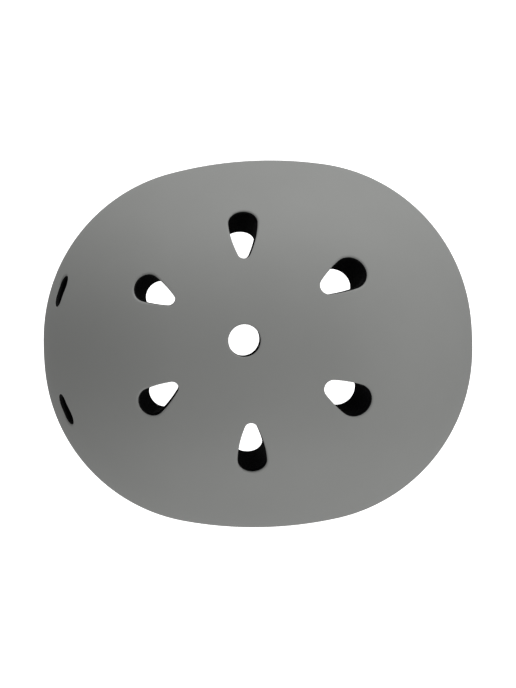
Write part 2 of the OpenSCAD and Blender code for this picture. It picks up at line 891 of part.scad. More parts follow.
// Buckle: x points from the plug's side to the chin, so the prongs reach to -x
buckle_round = 4;
mouth_side = 3;
mouth_end_gap = 2;
mouth_t = buckle_t - 2 * socket_wall;
mouth_w = buckle_w - 2 * mouth_side;
plug_step = 1;
plug_round = 3;
tongue_w = 5.2;
prong_t = mouth_t - 2 * clear;
prong_root_r = 1.3;
prong_inset = 5.5;
prong_root_z = buckle_w / 2 - prong_inset;
prong_beam = 2.2;
prong_bevel = 1.5;
// A barb's two ends along the prong, how far its crown stays under the buckle's edge, how far
// its crown's end lies from its back, and how far its front and its back drop
barb_from = 8.5;
barb_to = 16.5;
barb_sunk = 0.4;
barb_out = buckle_w / 2 - barb_sunk;
barb_crown = 2.5;
barb_front_drop = 1;
barb_back_drop = 0.6;
window_gap = 1.5;
strap_slot_w = strap_w + 2 * easy;
strap_slot_t = strap_t + 2 * clear;

module buckle_socket() {
    window_from = barb_from - clear;
    color([0.07, 0.07, 0.07]) at_buckle() difference() {
        translate([-socket_len / 2, buckle_t / 2, 0]) rotate([90, 0, 0])
            plate(socket_len, buckle_w, buckle_t, buckle_round);
        block([-prong_len - mouth_end_gap, -mouth_t / 2, -mouth_w / 2],
            [over, mouth_t / 2, mouth_w / 2]);
        for (side = [0, 1]) mirror([0, 0, side])
            block([-barb_to - window_gap, -mouth_t / 2, 0], [-window_from, mouth_t / 2, buckle_w]);
        block([-socket_len - over, -strap_slot_t / 2, -strap_slot_w / 2],
            [-socket_len + strap_hold + clear, strap_slot_t / 2, strap_slot_w / 2]);
    }
}

module buckle_plug() {
    color([0.07, 0.07, 0.07]) at_buckle() difference() {
        union() {
            translate([slip + plug_base_len / 2, buckle_t / 2, 0]) rotate([90, 0, 0])
                plate(plug_base_len, buckle_w - 2 * plug_step, buckle_t, plug_round);
            block([-prong_len + mouth_end_gap, -prong_t / 2 + clear, -tongue_w / 2],
                [slip + over, prong_t / 2 - clear, tongue_w / 2]);
        }
        for (side = [0, 1]) mirror([0, 0, side]) {
            translate([slip + prong_root_r, 0, prong_root_z]) rotate([90, 0, 0])
                cylinder(h = buckle_t + 2 * over, r = prong_root_r + slip, center = true);
            block([-over, -buckle_t, prong_root_z - prong_root_r - slip],
                [slip + prong_root_r, buckle_t, prong_root_z + prong_root_r + slip]);
        }
        block([slip + plug_base_len - strap_hold - clear, -strap_slot_t / 2, -strap_slot_w / 2],
            [slip + plug_base_len + over, strap_slot_t / 2, strap_slot_w / 2]);
    }
}

// One prong, reaching to -x, with its barb toward +z
module prong() {
    color([0.09, 0.09, 0.09]) rotate([90, 0, 0]) {
        translate([slip + prong_root_r, prong_root_z, 0])
            cylinder(h = prong_t, r = prong_root_r, center = true);
        linear_extrude(prong_t, center = true) polygon([
            [slip + prong_root_r, prong_root_z - prong_beam / 2],
            [-prong_len + prong_bevel, prong_root_z - prong_beam / 2],
            [-prong_len, prong_root_z],
            [-prong_len, prong_root_z + prong_beam / 2],
            [-barb_to, barb_out - barb_front_drop],
            [-barb_from - barb_crown, barb_out],
            [-barb_from, barb_out - barb_back_drop],
            [-barb_from, prong_root_z + prong_beam / 2],
            [slip + prong_root_r, prong_root_z + prong_beam / 2]
        ]);
    }
}

module rear_prong() {
    at_buckle() prong();
}

module front_prong() {
    at_buckle() mirror([0, 0, 1]) prong();
}

// Fit cradle: racks, pinion and dial on one axis along y
pitch_r = tooth_module * pinion_teeth / 2;
tooth_pitch = PI * tooth_module;
tooth_up = 0.7 * tooth_module;
tooth_down = 0.9 * tooth_module;
tooth_half = 0.2 * tooth_pitch;
rack_lean = 0.3;
// How much wider a pinion tooth is at its root, how much narrower at its tip, and how far it
// runs into the pinion's core
pinion_flare = 0.35;
pinion_taper = 0.3;
pinion_root_lap = 0.5;
rack_body = 3;
rack_back = pitch_r + tooth_down + rack_body;
channel_low = pitch_r - tooth_up - slip;
channel_high = rack_back + slip;
channel_y = housing_y + housing_wall;
channel_d = rack_t + 2 * slip;
cover_t = housing_d - housing_wall - channel_d;
cover_y = channel_y + channel_d;
cover_half_h = channel_high + housing_wall;
housing_round = 5;
stem_seat = 7;
housing_low = dial_z - cover_half_h;
housing_top = dial_z + cover_half_h + stem_seat + over;
rack_y = channel_y + slip;
rack_tail = tooth_pitch * 2;
knob_y = housing_y + housing_d + clear;
knob_bevel = 1.5;
groove_r = 1.6;
groove_out = 0.6;
shaft_r = 3;
shaft_end_y = knob_y + knob_t / 2;
screw_r = 1.2;
screw_head_r = 2.8;
screw_head_h = 1.6;
screw_sink = 2;
screw_seat_y = knob_y + knob_t - screw_sink;
screw_socket_r = 1.4;
screw_in = 6;

// A straight-sided tooth on the x axis, its root at y = -down and its tip at y = up
function tooth(x, lean) = [
    [x - tooth_half - tooth_down * lean, -tooth_down],
    [x - tooth_half + tooth_up * lean, tooth_up],
    [x + tooth_half - tooth_up * lean, tooth_up],
    [x + tooth_half + tooth_down * lean, -tooth_down]
];

module at_dial() {
    translate([0, 0, dial_z]) children();
}

// Places flat shapes, drawn in x and z, from a given y rearward
module facing_rear(y) {
    translate([0, y, 0]) mirror([0, 1, 0]) rotate([90, 0, 0]) children();
}

module pinion() {
    root = pitch_r - tooth_down;
    color([0.7, 0.7, 0.68]) at_dial() difference() {
        union() {
            facing_rear(rack_y) linear_extrude(rack_t) {
                circle(root);
                for (i = [0:pinion_teeth - 1]) rotate(90 + i * 360 / pinion_teeth)
                    polygon([
                        [root - pinion_root_lap, -tooth_half - pinion_flare],
                        [pitch_r + tooth_up, -tooth_half + pinion_taper],
                        [pitch_r + tooth_up, tooth_half - pinion_taper],
                        [root - pinion_root_lap, tooth_half + pinion_flare]
                    ]);
            }
            facing_rear(rack_y) cylinder(h = shaft_end_y - rack_y, r = shaft_r);
        }
        facing_rear(rack_y + rack_t) cylinder(h = shaft_end_y - rack_y, r = screw_r);
    }
}

// Where a band's plate starts, and where its wing starts to curve
plate_x = housing_w / 2 + band_travel + easy;
plate_end = plate_x + wing_h / 2;
wing_lap = 0.5;
wing_x = plate_end - wing_lap;
wing_y = rack_y + rack_t - clear - wing_r;
wing_pad_edge = 1;
wing_pad_short = 8;

// The band on the wearer's left, with its rack above the pinion
module band() {
    first = floor(-rack_tail / tooth_pitch) + 1;
    teeth = floor((band_travel + 2 * rack_tail) / tooth_pitch);
    color([0.16, 0.16, 0.17]) at_dial() {
        facing_rear(rack_y) linear_extrude(rack_t) {
            translate([-rack_tail, pitch_r + tooth_down])
                square([plate_x + rack_tail + over, rack_body]);
            translate([0, pitch_r]) for (i = [0:teeth - 1])
                polygon([for (p = tooth((first + i - 0.5) * tooth_pitch, rack_lean)) [p.x, -p.y]]);
            translate([plate_x, -wing_h / 2]) square([plate_end - plate_x, wing_h / 2 + rack_back]);
        }
        translate([wing_x, wing_y, -wing_h / 2])
            rotate([0, 0, 90 - wing_angle]) rotate_extrude(angle = wing_angle)
                translate([wing_r - wing_t, 0]) square([wing_t, wing_h]);
    }
}

module left_band() {
    band();
}

module right_band() {
    at_dial() rotate([0, 180, 0]) translate([0, 0, -dial_z]) band();
}

module wing_pad() {
    color([0.12, 0.12, 0.13]) at_dial() translate([wing_x, wing_y, wing_pad_edge - wing_h / 2])
        rotate([0, 0, 90 - wing_angle]) rotate_extrude(angle = wing_angle - wing_pad_short)
            translate([wing_r - wing_t - clear - nape_pad_t, 0])
                square([nape_pad_t, wing_h - 2 * wing_pad_edge]);
}

module left_wing_pad() {
    wing_pad();
}

module right_wing_pad() {
    mirror([1, 0, 0]) wing_pad();
}

module dial_housing() {
    color([0.1, 0.1, 0.1]) difference() {
        facing_rear(housing_y) translate([0, (housing_low + housing_top) / 2])
            plate(housing_w, housing_top - housing_low, housing_d, housing_round);
        at_dial() {
            facing_rear(channel_y) cylinder(h = housing_d, r = pitch_r + tooth_up + clear);
            for (turn = [0, 180]) rotate([0, turn, 0])
                block([-rack_tail - band_travel - clear, channel_y, channel_low],
                    [housing_w, cover_y, channel_high]);
            block([-housing_w, cover_y - press, -cover_half_h - over],
                [housing_w, cover_y + housing_d, cover_half_h]);
        }
        block([-stem_w / 2 - slip, stem_y - slip, housing_top - stem_seat],
            [stem_w / 2 + slip, stem_y + stem_t + slip, housing_top + over]);
    }
}

module dial_cover() {
    color([0.13, 0.13, 0.13]) at_dial() difference() {
        facing_rear(cover_y + turn_gap)
            plate(housing_w, 2 * (cover_half_h - slip), cover_t, housing_round);
        facing_rear(cover_y - over) cylinder(h = cover_t + 2 * over, r = shaft_r + 2 * turn_gap);
    }
}

module dial_knob() {
    color([0.18, 0.18, 0.19]) at_dial() difference() {
        facing_rear(knob_y) {
            cylinder(h = knob_t - knob_bevel, d = knob_d);
            translate([0, 0, knob_t - knob_bevel])
                cylinder(h = knob_bevel, d1 = knob_d, d2 = knob_d - 2 * knob_bevel);
        }
        facing_rear(knob_y - over) for (i = [0:knob_grooves - 1]) rotate(i * 360 / knob_grooves)
            translate([knob_d / 2 + groove_out, 0]) cylinder(h = knob_t + 2 * over, r = groove_r);
        facing_rear(knob_y - over)
            cylinder(h = shaft_end_y + slip - knob_y + over, r = shaft_r + press);
        facing_rear(knob_y) cylinder(h = knob_t, r = screw_r + slip);
        facing_rear(screw_seat_y) cylinder(h = knob_t, r = screw_head_r + clear);
    }
}

module dial_screw() {
    color([0.6, 0.6, 0.6]) at_dial() {
        facing_rear(screw_seat_y + turn_gap) difference() {
            cylinder(h = screw_head_h, r = screw_head_r);
            translate([0, 0, screw_head_h / 2])
                cylinder(h = screw_head_h, r = screw_socket_r, $fn = 6);
        }
        facing_rear(shaft_end_y - screw_in)
            cylinder(h = screw_seat_y + screw_head_h / 3 - shaft_end_y + screw_in,
                r = screw_r - turn_gap);
    }
}

nape_pad_edge = 3;
module nape_pad() {
    color([0.12, 0.12, 0.13]) facing_rear(housing_y - clear - nape_pad_t)
        translate([0, (housing_low + housing_top) / 2])
            plate(housing_w - 2 * nape_pad_edge, housing_top - housing_low - 2 * nape_pad_edge,
                nape_pad_t, housing_round);
}

// Height stem, held in an anchor on the liner
stem_inset = 5;
stem_y = housing_y + stem_inset;
stem_low = housing_top - stem_seat + slip;
stem_round = 2;
stem_holes = 4;
stem_hole_d = 2.4;
stem_hole_pitch = 5;
stem_hole_top = 6;
anchor_h = 18;
anchor_side = 5;
anchor_wall = 2;
anchor_round = 3;
anchor_w = stem_w + 2 * anchor_side;
anchor_front = stem_y - slip - anchor_wall;
function cavity_y_at(x) =
    let (a = cavity_outline[2]) a[0] + sqrt(pow(a[2], 2) - pow(max(x - a[1], 0), 2));
anchor_back = cavity_y_at(anchor_w / 2) - slip;

module height_stem() {
    color([0.16, 0.16, 0.17]) translate([0, stem_y, (stem_low + stem_top_z) / 2])
        mirror([0, 1, 0]) rotate([90, 0, 0]) difference() {
            plate(stem_w, stem_top_z - stem_low, stem_t, stem_round);
            for (i = [0:stem_holes - 1])
                translate([0, (stem_top_z - stem_low) / 2 - stem_hole_top - stem_hole_pitch * i, -over])
                    cylinder(h = stem_t + 2 * over, d = stem_hole_d);
        }
}

pin_d = 5;
rear_wall_t = shell_len / 2 - cavity_rear_y - shell_t - liner_gap;
pin_len = rear_wall_t / 2;
module stem_anchor() {
    color([0.1, 0.1, 0.1]) difference() {
        facing_rear(anchor_front) translate([0, anchor_z])
            plate(anchor_w, anchor_h, anchor_back - anchor_front, anchor_round);
        block([-stem_w / 2 - slip, stem_y - slip, anchor_z - anchor_h],
            [stem_w / 2 + slip, stem_y + stem_t + slip, anchor_z + anchor_h]);
        translate([0, 0, anchor_z]) facing_rear(stem_y)
            cylinder(h = anchor_back - stem_y + over, d = pin_d + 2 * slip);
    }
}

pin_from = stem_y + stem_t + 2 * slip;
module anchor_pin() {
    color([0.12, 0.12, 0.12]) translate([0, 0, anchor_z])
        facing_rear(pin_from) cylinder(h = cavity_rear_y + pin_len - pin_from, d = pin_d);
}

module pin_hole() {
    translate([0, 0, anchor_z]) facing_rear(anchor_back)
        cylinder(h = cavity_rear_y + pin_len + clear - anchor_back, d = pin_d + 2 * slip);
}

outer_shell();
eps_liner();
edge_trim();
brow_pad();
left_side_pad();
right_side_pad();
front_crown_pad();
rear_crown_pad();
hook_dots();
strap_rivets();
rivet_washers();
left_front_strap();
left_rear_strap();
right_front_strap();
right_rear_strap();
left_divider();
right_divider();
left_divider_lever();
right_divider_lever();
lever_pins();
left_chin_strap();
right_chin_strap();
chin_pad();
buckle_socket();
buckle_plug();
front_prong();
rear_prong();
dial_housing();
dial_cover();
pinion();
dial_knob();
dial_screw();
left_band();
right_band();
left_wing_pad();
right_wing_pad();
nape_pad();
height_stem();
stem_anchor();
anchor_pin();
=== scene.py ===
import bisect
import math

import bpy
from mathutils import Matrix, Vector


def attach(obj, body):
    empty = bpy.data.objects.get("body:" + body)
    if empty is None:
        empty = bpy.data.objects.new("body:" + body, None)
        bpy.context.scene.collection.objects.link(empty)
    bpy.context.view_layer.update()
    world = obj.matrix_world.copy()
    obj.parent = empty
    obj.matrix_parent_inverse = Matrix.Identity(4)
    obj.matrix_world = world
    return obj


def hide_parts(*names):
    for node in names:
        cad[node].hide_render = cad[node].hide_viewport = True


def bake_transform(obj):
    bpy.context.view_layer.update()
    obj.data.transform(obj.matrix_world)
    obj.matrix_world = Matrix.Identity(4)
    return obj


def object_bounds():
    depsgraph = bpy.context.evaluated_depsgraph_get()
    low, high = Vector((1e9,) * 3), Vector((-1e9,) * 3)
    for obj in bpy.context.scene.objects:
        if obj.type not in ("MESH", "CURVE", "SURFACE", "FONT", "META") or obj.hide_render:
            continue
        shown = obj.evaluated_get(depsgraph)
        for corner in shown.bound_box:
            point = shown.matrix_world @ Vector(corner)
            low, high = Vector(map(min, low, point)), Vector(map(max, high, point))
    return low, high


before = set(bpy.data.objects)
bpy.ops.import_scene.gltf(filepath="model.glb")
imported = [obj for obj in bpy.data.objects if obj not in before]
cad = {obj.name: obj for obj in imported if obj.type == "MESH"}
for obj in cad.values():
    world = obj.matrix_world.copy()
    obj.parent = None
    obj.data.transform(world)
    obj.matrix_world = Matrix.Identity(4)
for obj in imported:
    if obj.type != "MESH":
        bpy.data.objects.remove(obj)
cad_low, cad_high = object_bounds()
MM = 0.001

# Camera: almost straight above the helmet, its front to the left and the wearer's right on top
VIEW_HEIGHT = 0.444
CAMERA_HEIGHT = 2.8
CAMERA_SIDE = 0.06
CAMERA_TURN = math.radians(2.3)
SENSOR = 36
camera_data = bpy.data.cameras.new("camera")
camera_data.sensor_fit = "VERTICAL"
camera_data.sensor_height = SENSOR
camera_data.lens = SENSOR * CAMERA_HEIGHT / VIEW_HEIGHT
camera_data.clip_end = 100
camera = bpy.data.objects.new("camera", camera_data)
bpy.context.scene.collection.objects.link(camera)
camera_place = Vector((CAMERA_SIDE, 0, CAMERA_HEIGHT))
camera_back = camera_place.normalized()
camera_up = Vector((-math.cos(CAMERA_TURN), math.sin(CAMERA_TURN), 0))
camera_right = camera_up.cross(camera_back).normalized()
camera_up = camera_back.cross(camera_right)
turn = Matrix((camera_right, camera_up, camera_back)).transposed().to_4x4()
camera.matrix_world = Matrix.Translation(camera_place) @ turn
bpy.context.scene.camera = camera


def linear(colour):
    """A hex colour as the linear numbers that a shader socket takes."""
    parts = [int(colour[i:i + 2], 16) / 255 for i in (1, 3, 5)]
    return (*[c / 12.92 if c <= 0.04045 else ((c + 0.055) / 1.055) ** 2.4 for c in parts], 1)


# Studio: an even pale room with large soft lights low at the sides
bpy.context.scene.view_settings.view_transform = "Standard"
ROOM_LIGHT = 0.457
room = bpy.data.worlds.new("pale_room")
bpy.context.scene.world = room
room.use_nodes = True
room.node_tree.nodes["Background"].inputs["Color"].default_value = linear("#ffffff")
room.node_tree.nodes["Background"].inputs["Strength"].default_value = ROOM_LIGHT


def softbox(name, place, size, watts):
    """A square area light of that size in metres, aimed at the helmet."""
    data = bpy.data.lights.new(name, "AREA")
    data.shape = "SQUARE"
    data.size = size
    data.energy = watts
    light = bpy.data.objects.new(name, data)
    bpy.context.scene.collection.objects.link(light)
    light.location = place
    light.rotation_euler = Vector(place).to_track_quat("Z", "Y").to_euler()


softbox("rear_softbox", (0.3, 3.0, 0.9), 2.4, 24)
softbox("right_softbox", (-3.0, 0.6, 0.9), 2.4, 73)
softbox("left_softbox", (3.0, 0.3, 0.9), 2.4, 40)


def add(tree, kind, settings=None, links=None):
    """Adds a node. A setting or link is named for an input, or else for a property of the node."""
    made = tree.nodes.new(kind)
    for key, value in (settings or {}).items():
        if isinstance(key, int) or key in made.inputs:
            made.inputs[key].default_value = value
        else:
            setattr(made, key, value)
    for key, source in (links or {}).items():
        tree.links.new(source, made.inputs[key])
    return made


def finish_of(name, roughness, ior=1.5, specular=0.5, metallic=0.0):
    """An empty finish with its uniform values, and its tree and surface to build on."""
    m = bpy.data.materials.new(name)
    m.use_nodes = True
    surface = m.node_tree.nodes["Principled BSDF"]
    surface.inputs["Roughness"].default_value = roughness
    surface.inputs["IOR"].default_value = ior
    surface.inputs["Specular IOR Level"].default_value = specular
    surface.inputs["Metallic"].default_value = metallic
    return m, m.node_tree, surface


def object_points(tree, feature):
    """Object coordinates scaled so that one unit is one feature of the pattern, in millimetres."""
    place = add(tree, "ShaderNodeTexCoord")
    scale = 1 / (feature * MM)
    return add(tree, "ShaderNodeMapping", {"Scale": (scale, scale, scale)},
               {"Vector": place.outputs["Object"]}).outputs["Vector"]


def noise(tree, feature, detail, **more):
    """Cloudy noise of 0 to 1, with features of that size in millimetres."""
    return add(tree, "ShaderNodeTexNoise", {"Scale": 1.0, "Detail": detail, **more},
               {"Vector": object_points(tree, feature)}).outputs["Fac"]


def cells(tree, feature, kind, **more):
    """Distances in a pattern of cells of that size in millimetres."""
    return add(tree, "ShaderNodeTexVoronoi", {"feature": kind, "Scale": 1.0, **more},
               {"Vector": object_points(tree, feature)}).outputs["Distance"]


def two_tones(tree, surface, factor, low, high):
    """Base colour between two near tones."""
    ramp = add(tree, "ShaderNodeMix", {"data_type": "RGBA", 6: linear(low), 7: linear(high)},
               {0: factor})
    tree.links.new(ramp.outputs[2], surface.inputs["Base Color"])


def relief(tree, surface, height, depth):
    """Bump of that depth in metres from a height of 0 to 1."""
    bump = add(tree, "ShaderNodeBump", {"Strength": 1.0, "Distance": depth}, {"Height": height})
    tree.links.new(bump.outputs["Normal"], surface.inputs["Normal"])


def painted_shell():
    """ABS moulded and sprayed with matt paint: an even grey with a very fine orange peel and no
    gloss."""
    m, tree, surface = finish_of("matt_painted_abs", 0.62, 1.46, 0.35)
    two_tones(tree, surface, noise(tree, 40, 3.0), "#868785", "#8a8b89")
    relief(tree, surface, noise(tree, 1.4, 2.0), 0.02 * MM)
    return m


def bead_foam():
    """Expanded polystyrene dyed black: 3 mm beads pressed flat, with fine grooves between them
    that look a little paler."""
    m, tree, surface = finish_of("black_bead_foam", 0.8, 1.35, 0.08)
    flat = add(tree, "ShaderNodeMapRange", {"From Min": 0.0, "From Max": 0.12},
               {"Value": cells(tree, 3.2, "DISTANCE_TO_EDGE")})
    two_tones(tree, surface, flat.outputs["Result"], "#0e0e0f", "#08080a")
    relief(tree, surface, flat.outputs["Result"], 0.12 * MM)
    return m


def rim_rubber():
    """Thermoplastic rubber, moulded with a spark-eroded grain: near black with a low satin
    sheen."""
    m, tree, surface = finish_of("moulded_rubber", 0.58, 1.52, 0.4)
    grain = noise(tree, 0.6, 4.0)
    two_tones(tree, surface, grain, "#18181a", "#1f1f21")
    relief(tree, surface, grain, 0.03 * MM)
    return m


def moulded_plastic(name, low, high, roughness, grain_mm, depth_mm, specular=0.5):
    """Injection moulded acetal or nylon: one colour through, with the fine grain of the tool."""
    m, tree, surface = finish_of(name, roughness, 1.48, specular)
    grain = noise(tree, grain_mm, 3.0)
    two_tones(tree, surface, grain, low, high)
    relief(tree, surface, grain, depth_mm * MM)
    return m


def brushed_cloth():
    """Brushed knit bonded to foam: soft charcoal with short nap, a knit of 0.9 mm drawn a little
    coarse to show, and a pale sheen at grazing angles."""
    m, tree, surface = finish_of("brushed_knit", 0.95, 1.45, 0.15)
    surface.inputs["Sheen Weight"].default_value = 0.35
    surface.inputs["Sheen Roughness"].default_value = 0.5
    nap = noise(tree, 2.5, 6.0, Roughness=0.7)
    knit = cells(tree, 0.9, "F1", Randomness=0.35)
    both = add(tree, "ShaderNodeMath", {"operation": "MULTIPLY"}, {0: nap, 1: knit})
    two_tones(tree, surface, both.outputs["Value"], "#2d2e31", "#1d1e20")
    relief(tree, surface, both.outputs["Value"], 0.35 * MM)
    return m


def hook_tape():
    """Moulded nylon hooks on a disc: dark grey with a dense 0.8 mm stubble."""
    m, tree, surface = finish_of("hook_tape", 0.8, 1.5, 0.3)
    stubs = cells(tree, 0.8, "F1", Randomness=0.2)
    two_tones(tree, surface, stubs, "#454548", "#26262a")
    relief(tree, surface, stubs, 0.5 * MM)
    return m


def woven_webbing():
    """Polyester webbing: ribs of 1.5 mm across the strap, crossed by 1.1 mm warp threads, with a
    slight silky shine."""
    m, tree, surface = finish_of("woven_polyester", 0.72, 1.5, 0.35)
    surface.inputs["Sheen Weight"].default_value = 0.15
    laid = add(tree, "ShaderNodeTexCoord").outputs["UV"]
    ribs = add(tree, "ShaderNodeMapping", {"Scale": (1 / (1.5 * MM), 0.0, 0.0)}, {"Vector": laid})
    threads = add(tree, "ShaderNodeMapping", {"Scale": (0.0, 1 / (1.1 * MM), 0.0)}, {"Vector": laid})
    # A wave repeats every tenth of a unit over two pi, so its scale is two pi over twenty
    rib = add(tree, "ShaderNodeTexWave", {"bands_direction": "X", "Scale": math.pi / 10},
              {"Vector": ribs.outputs["Vector"]})
    thread = add(tree, "ShaderNodeTexWave", {"bands_direction": "Y", "Scale": math.pi / 10},
                 {"Vector": threads.outputs["Vector"]})
    weave = add(tree, "ShaderNodeMath", {"operation": "MULTIPLY"},
                {0: rib.outputs["Fac"], 1: thread.outputs["Fac"]})
    two_tones(tree, surface, weave.outputs["Value"], "#121214", "#2a2a2d")
    relief(tree, surface, weave.outputs["Value"], 0.25 * MM)
    return m


def metal(name, low, high, roughness):
    """Turned or stamped steel: fine drawn streaks vary the tone."""
    m, tree, surface = finish_of(name, roughness, 1.5, 0.5, 1.0)
    two_tones(tree, surface, noise(tree, 0.7, 4.0), low, high)
    return m


SHELL_PAINT = painted_shell()
FOAM = bead_foam()
RUBBER = rim_rubber()
ACETAL = moulded_plastic("black_acetal", "#141415", "#1a1a1b", 0.4, 1.2, 0.01)
NYLON = moulded_plastic("charcoal_nylon", "#222224", "#29292b", 0.52, 0.7, 0.03)
GEAR = moulded_plastic("natural_acetal", "#d8d7cf", "#e2e1da", 0.42, 1.0, 0.01)
# Near-black plastic for the vents' walls and lip undersides: painted shade in the vents
VENT_SHADE_ABS = moulded_plastic("vent_shade_black_abs", "#0b0b0c", "#0f0f10", 0.7, 1.0, 0.01, 0.15)
CLOTH = brushed_cloth()
HOOKS = hook_tape()
WEBBING = woven_webbing()
BLACK_STEEL = metal("blackened_steel", "#3a3a3c", "#4a4a4d", 0.45)
BARE_STEEL = metal("plain_steel", "#a8a8a6", "#c0c0be", 0.3)


# The shell's form, in millimetres as in the solid: three arcs in plan, turned about Y
SHELL_ARCS = ((-28.5, 5.285, 109.5), (2.6, -131.75, 250.0), (27.0, 5.112, 111.0))
CAVITY_ARCS = ((-30.0, 1.866, 80.0), (2.6, -124.0, 210.0), (30.0, 3.1, 80.0))
CAVITY_Z = 8.0
SHELL_TIP = 138.0
SHELL_T = 2.5


def seam(arcs, end):
    """Where an end arc meets the side arc, along Y."""
    y, _, r = arcs[end]
    return y + r * (y - arcs[1][0]) / (arcs[1][2] - r)


def arc_of(arcs, y):
    """The arc that the outline follows at that place along Y."""
    if y < seam(arcs, 0):
        return arcs[0]
    return arcs[2] if y > seam(arcs, 2) else arcs[1]


def outline_at(arcs, y, inset=0.0):
    """Half width of the outline there, and its outward direction as (across, along)."""
    mid, off, r = arc_of(arcs, y)
    r -= inset
    across = math.sqrt(max(r * r - (y - mid) ** 2, 0))
    return off + across, across / r, (y - mid) / r


def depth_in(arcs, across, y):
    """How far a point lies inside the outline."""
    mid, off, r = arc_of(arcs, y)
    return r - math.hypot(across - off, y - mid)


def wall_at(x, y):
    """A place on the shell's outside over that plan place, and its outward direction."""
    wide, out, along = outline_at(SHELL_ARCS, y)
    z = math.sqrt(wide * wide - x * x)
    return Vector((x, y, z)), Vector((out * x / wide, along, out * z / wide))


def nape_wall_at(x, z):
    """The same on the shell's rear, by height."""
    mid, off, r = SHELL_ARCS[2]
    wide = math.hypot(x, z)
    y = mid + math.sqrt(r * r - (wide - off) ** 2)
    out = (wide - off) / r / wide
    return Vector((x, y, z)), Vector((out * x, (y - mid) / r, out * z))


# Rim heights, as in the solid
RIM = ((-100, -20), (-48, -38), (6, -31), (72, -56))


def eased(t):
    t = min(max(t, 0), 1)
    return t * t * (3 - 2 * t)


def rim_z(y):
    z = RIM[0][1]
    for (y0, z0), (y1, z1) in zip(RIM, RIM[1:]):
        z += (z1 - z0) * eased((y - y0) / (y1 - y0))
    return z


# Vents, as in the solid. The longer ones have sides that bow outward on a large radius.
CROWN_Y = -8.4
CROWN_D = 20.0
SIDE_BOW = 70.0


class Vent:
    """One vent's frame and outline. a runs toward the wide end, b across. The channel leans from
    upright and turns in plan by those degrees, or else it goes straight in."""

    def __init__(self, wall, length, wide, tip, lean=None, turn=0, mirror=1, across=False):
        at, out = wall
        # Wide ends point away from the crown
        plan = Vector((at.x, at.y - CROWN_Y, 0)).normalized() if length > wide else Vector((1, 0, 0))
        way = Matrix.Rotation(math.radians(turn), 3, "Z") @ plan
        run = out if lean is None else way * math.sin(math.radians(lean)) + Vector(
            (0, 0, math.cos(math.radians(lean))))
        flip = Vector((mirror, 1, 1))
        self.at = at * flip
        self.run = (run * flip).normalized()
        along = plan * flip
        self.along = (along - along.dot(self.run) * self.run).normalized()
        if across:
            self.along = self.run.cross(self.along) * mirror
        self.side = self.run.cross(self.along)
        self.wide_r = wide / 2
        self.tip_r = tip / 2
        self.wide_x = length / 2 - wide / 2
        self.tip_x = tip / 2 - length / 2
        span = self.wide_x - self.tip_x
        self.round = span == 0
        if not self.round:
            to_wide = SIDE_BOW - self.wide_r
            to_tip = SIDE_BOW - self.tip_r
            self.mid_x = self.wide_x - (to_wide ** 2 - to_tip ** 2 + span ** 2) / (2 * span)
            self.mid_y = -math.sqrt(to_wide ** 2 - (self.wide_x - self.mid_x) ** 2)
            self.turn_wide = math.atan2(-self.mid_y, self.wide_x - self.mid_x)
            self.turn_tip = math.atan2(-self.mid_y, self.tip_x - self.mid_x)

    def outline(self, extra):
        """Points of the outline, let out by extra, about 1.3 mm apart."""
        if self.round:
            n = 48
            return [((self.wide_r + extra) * math.cos(2 * math.pi * i / n),
                     (self.wide_r + extra) * math.sin(2 * math.pi * i / n)) for i in range(n)]
        parts = (
            (self.wide_x, 0, self.wide_r, -self.turn_wide, self.turn_wide, 20),
            (self.mid_x, self.mid_y, SIDE_BOW, self.turn_wide, self.turn_tip, 12),
            (self.tip_x, 0, self.tip_r, self.turn_tip, 2 * math.pi - self.turn_tip, 12),
            (self.mid_x, -self.mid_y, SIDE_BOW, -self.turn_tip, -self.turn_wide, 12),
        )
        points = []
        for x, y, r, start, end, n in parts:
            for i in range(n):
                t = start + (end - start) * i / n
                points.append((x + (r + extra) * math.cos(t), y + (r + extra) * math.sin(t)))
        return points

    def outward(self, a, b):
        """Distance outside the outline and its direction there, as (distance, a, b)."""
        if self.round:
            x, y, r = 0, 0, self.wide_r
        else:
            turn = math.atan2(abs(b) - self.mid_y, a - self.mid_x)
            if turn < self.turn_wide:
                x, y, r = self.wide_x, 0, self.wide_r
            elif turn > self.turn_tip:
                x, y, r = self.tip_x, 0, self.tip_r
            else:
                x, y, r = self.mid_x, self.mid_y, SIDE_BOW
        da, db = a - x, abs(b) - y
        length = math.hypot(da, db)
        return length - r, da / length, math.copysign(db / length, b)

    def place(self, a, b, h):
        """The place with those coordinates, h along the channel."""
        return self.at + self.along * a + self.side * b + self.run * h

    def local(self, place):
        """The coordinates a, b and h of a place."""
        away = place - self.at
        return away.dot(self.along), away.dot(self.side), away.dot(self.run)


def all_vents():
    """The crown's vent, and on each side the side, front, rear, brow and nape ones."""
    made = [Vent(wall_at(0, CROWN_Y), CROWN_D, CROWN_D, CROWN_D)]
    for mirror in (1, -1):
        made += [
            Vent(wall_at(67.1, -6.3), 36, 18, 8, lean=25, turn=6.5, mirror=mirror),
            Vent(wall_at(32.8, -63.1), 30, 17.5, 7.5, lean=21, mirror=mirror),
            Vent(wall_at(37.3, 54.9), 33, 21, 11.5, lean=28.5, turn=-6.5, mirror=mirror),
            Vent(wall_at(37.7, -124.1), 20.5, 12.5, 10.5, mirror=mirror, across=True),
            Vent(nape_wall_at(38, -20), 33, 21, 11.5, mirror=mirror),
        ]
    return made


def deselect():
    if bpy.context.object and bpy.context.object.mode != "OBJECT":
        bpy.ops.object.mode_set(mode="OBJECT")
    bpy.ops.object.select_all(action="DESELECT")


def only(obj):
    """Makes obj the one selected and active object."""
    deselect()
    obj.select_set(True)
    bpy.context.view_layer.objects.active = obj
    return obj


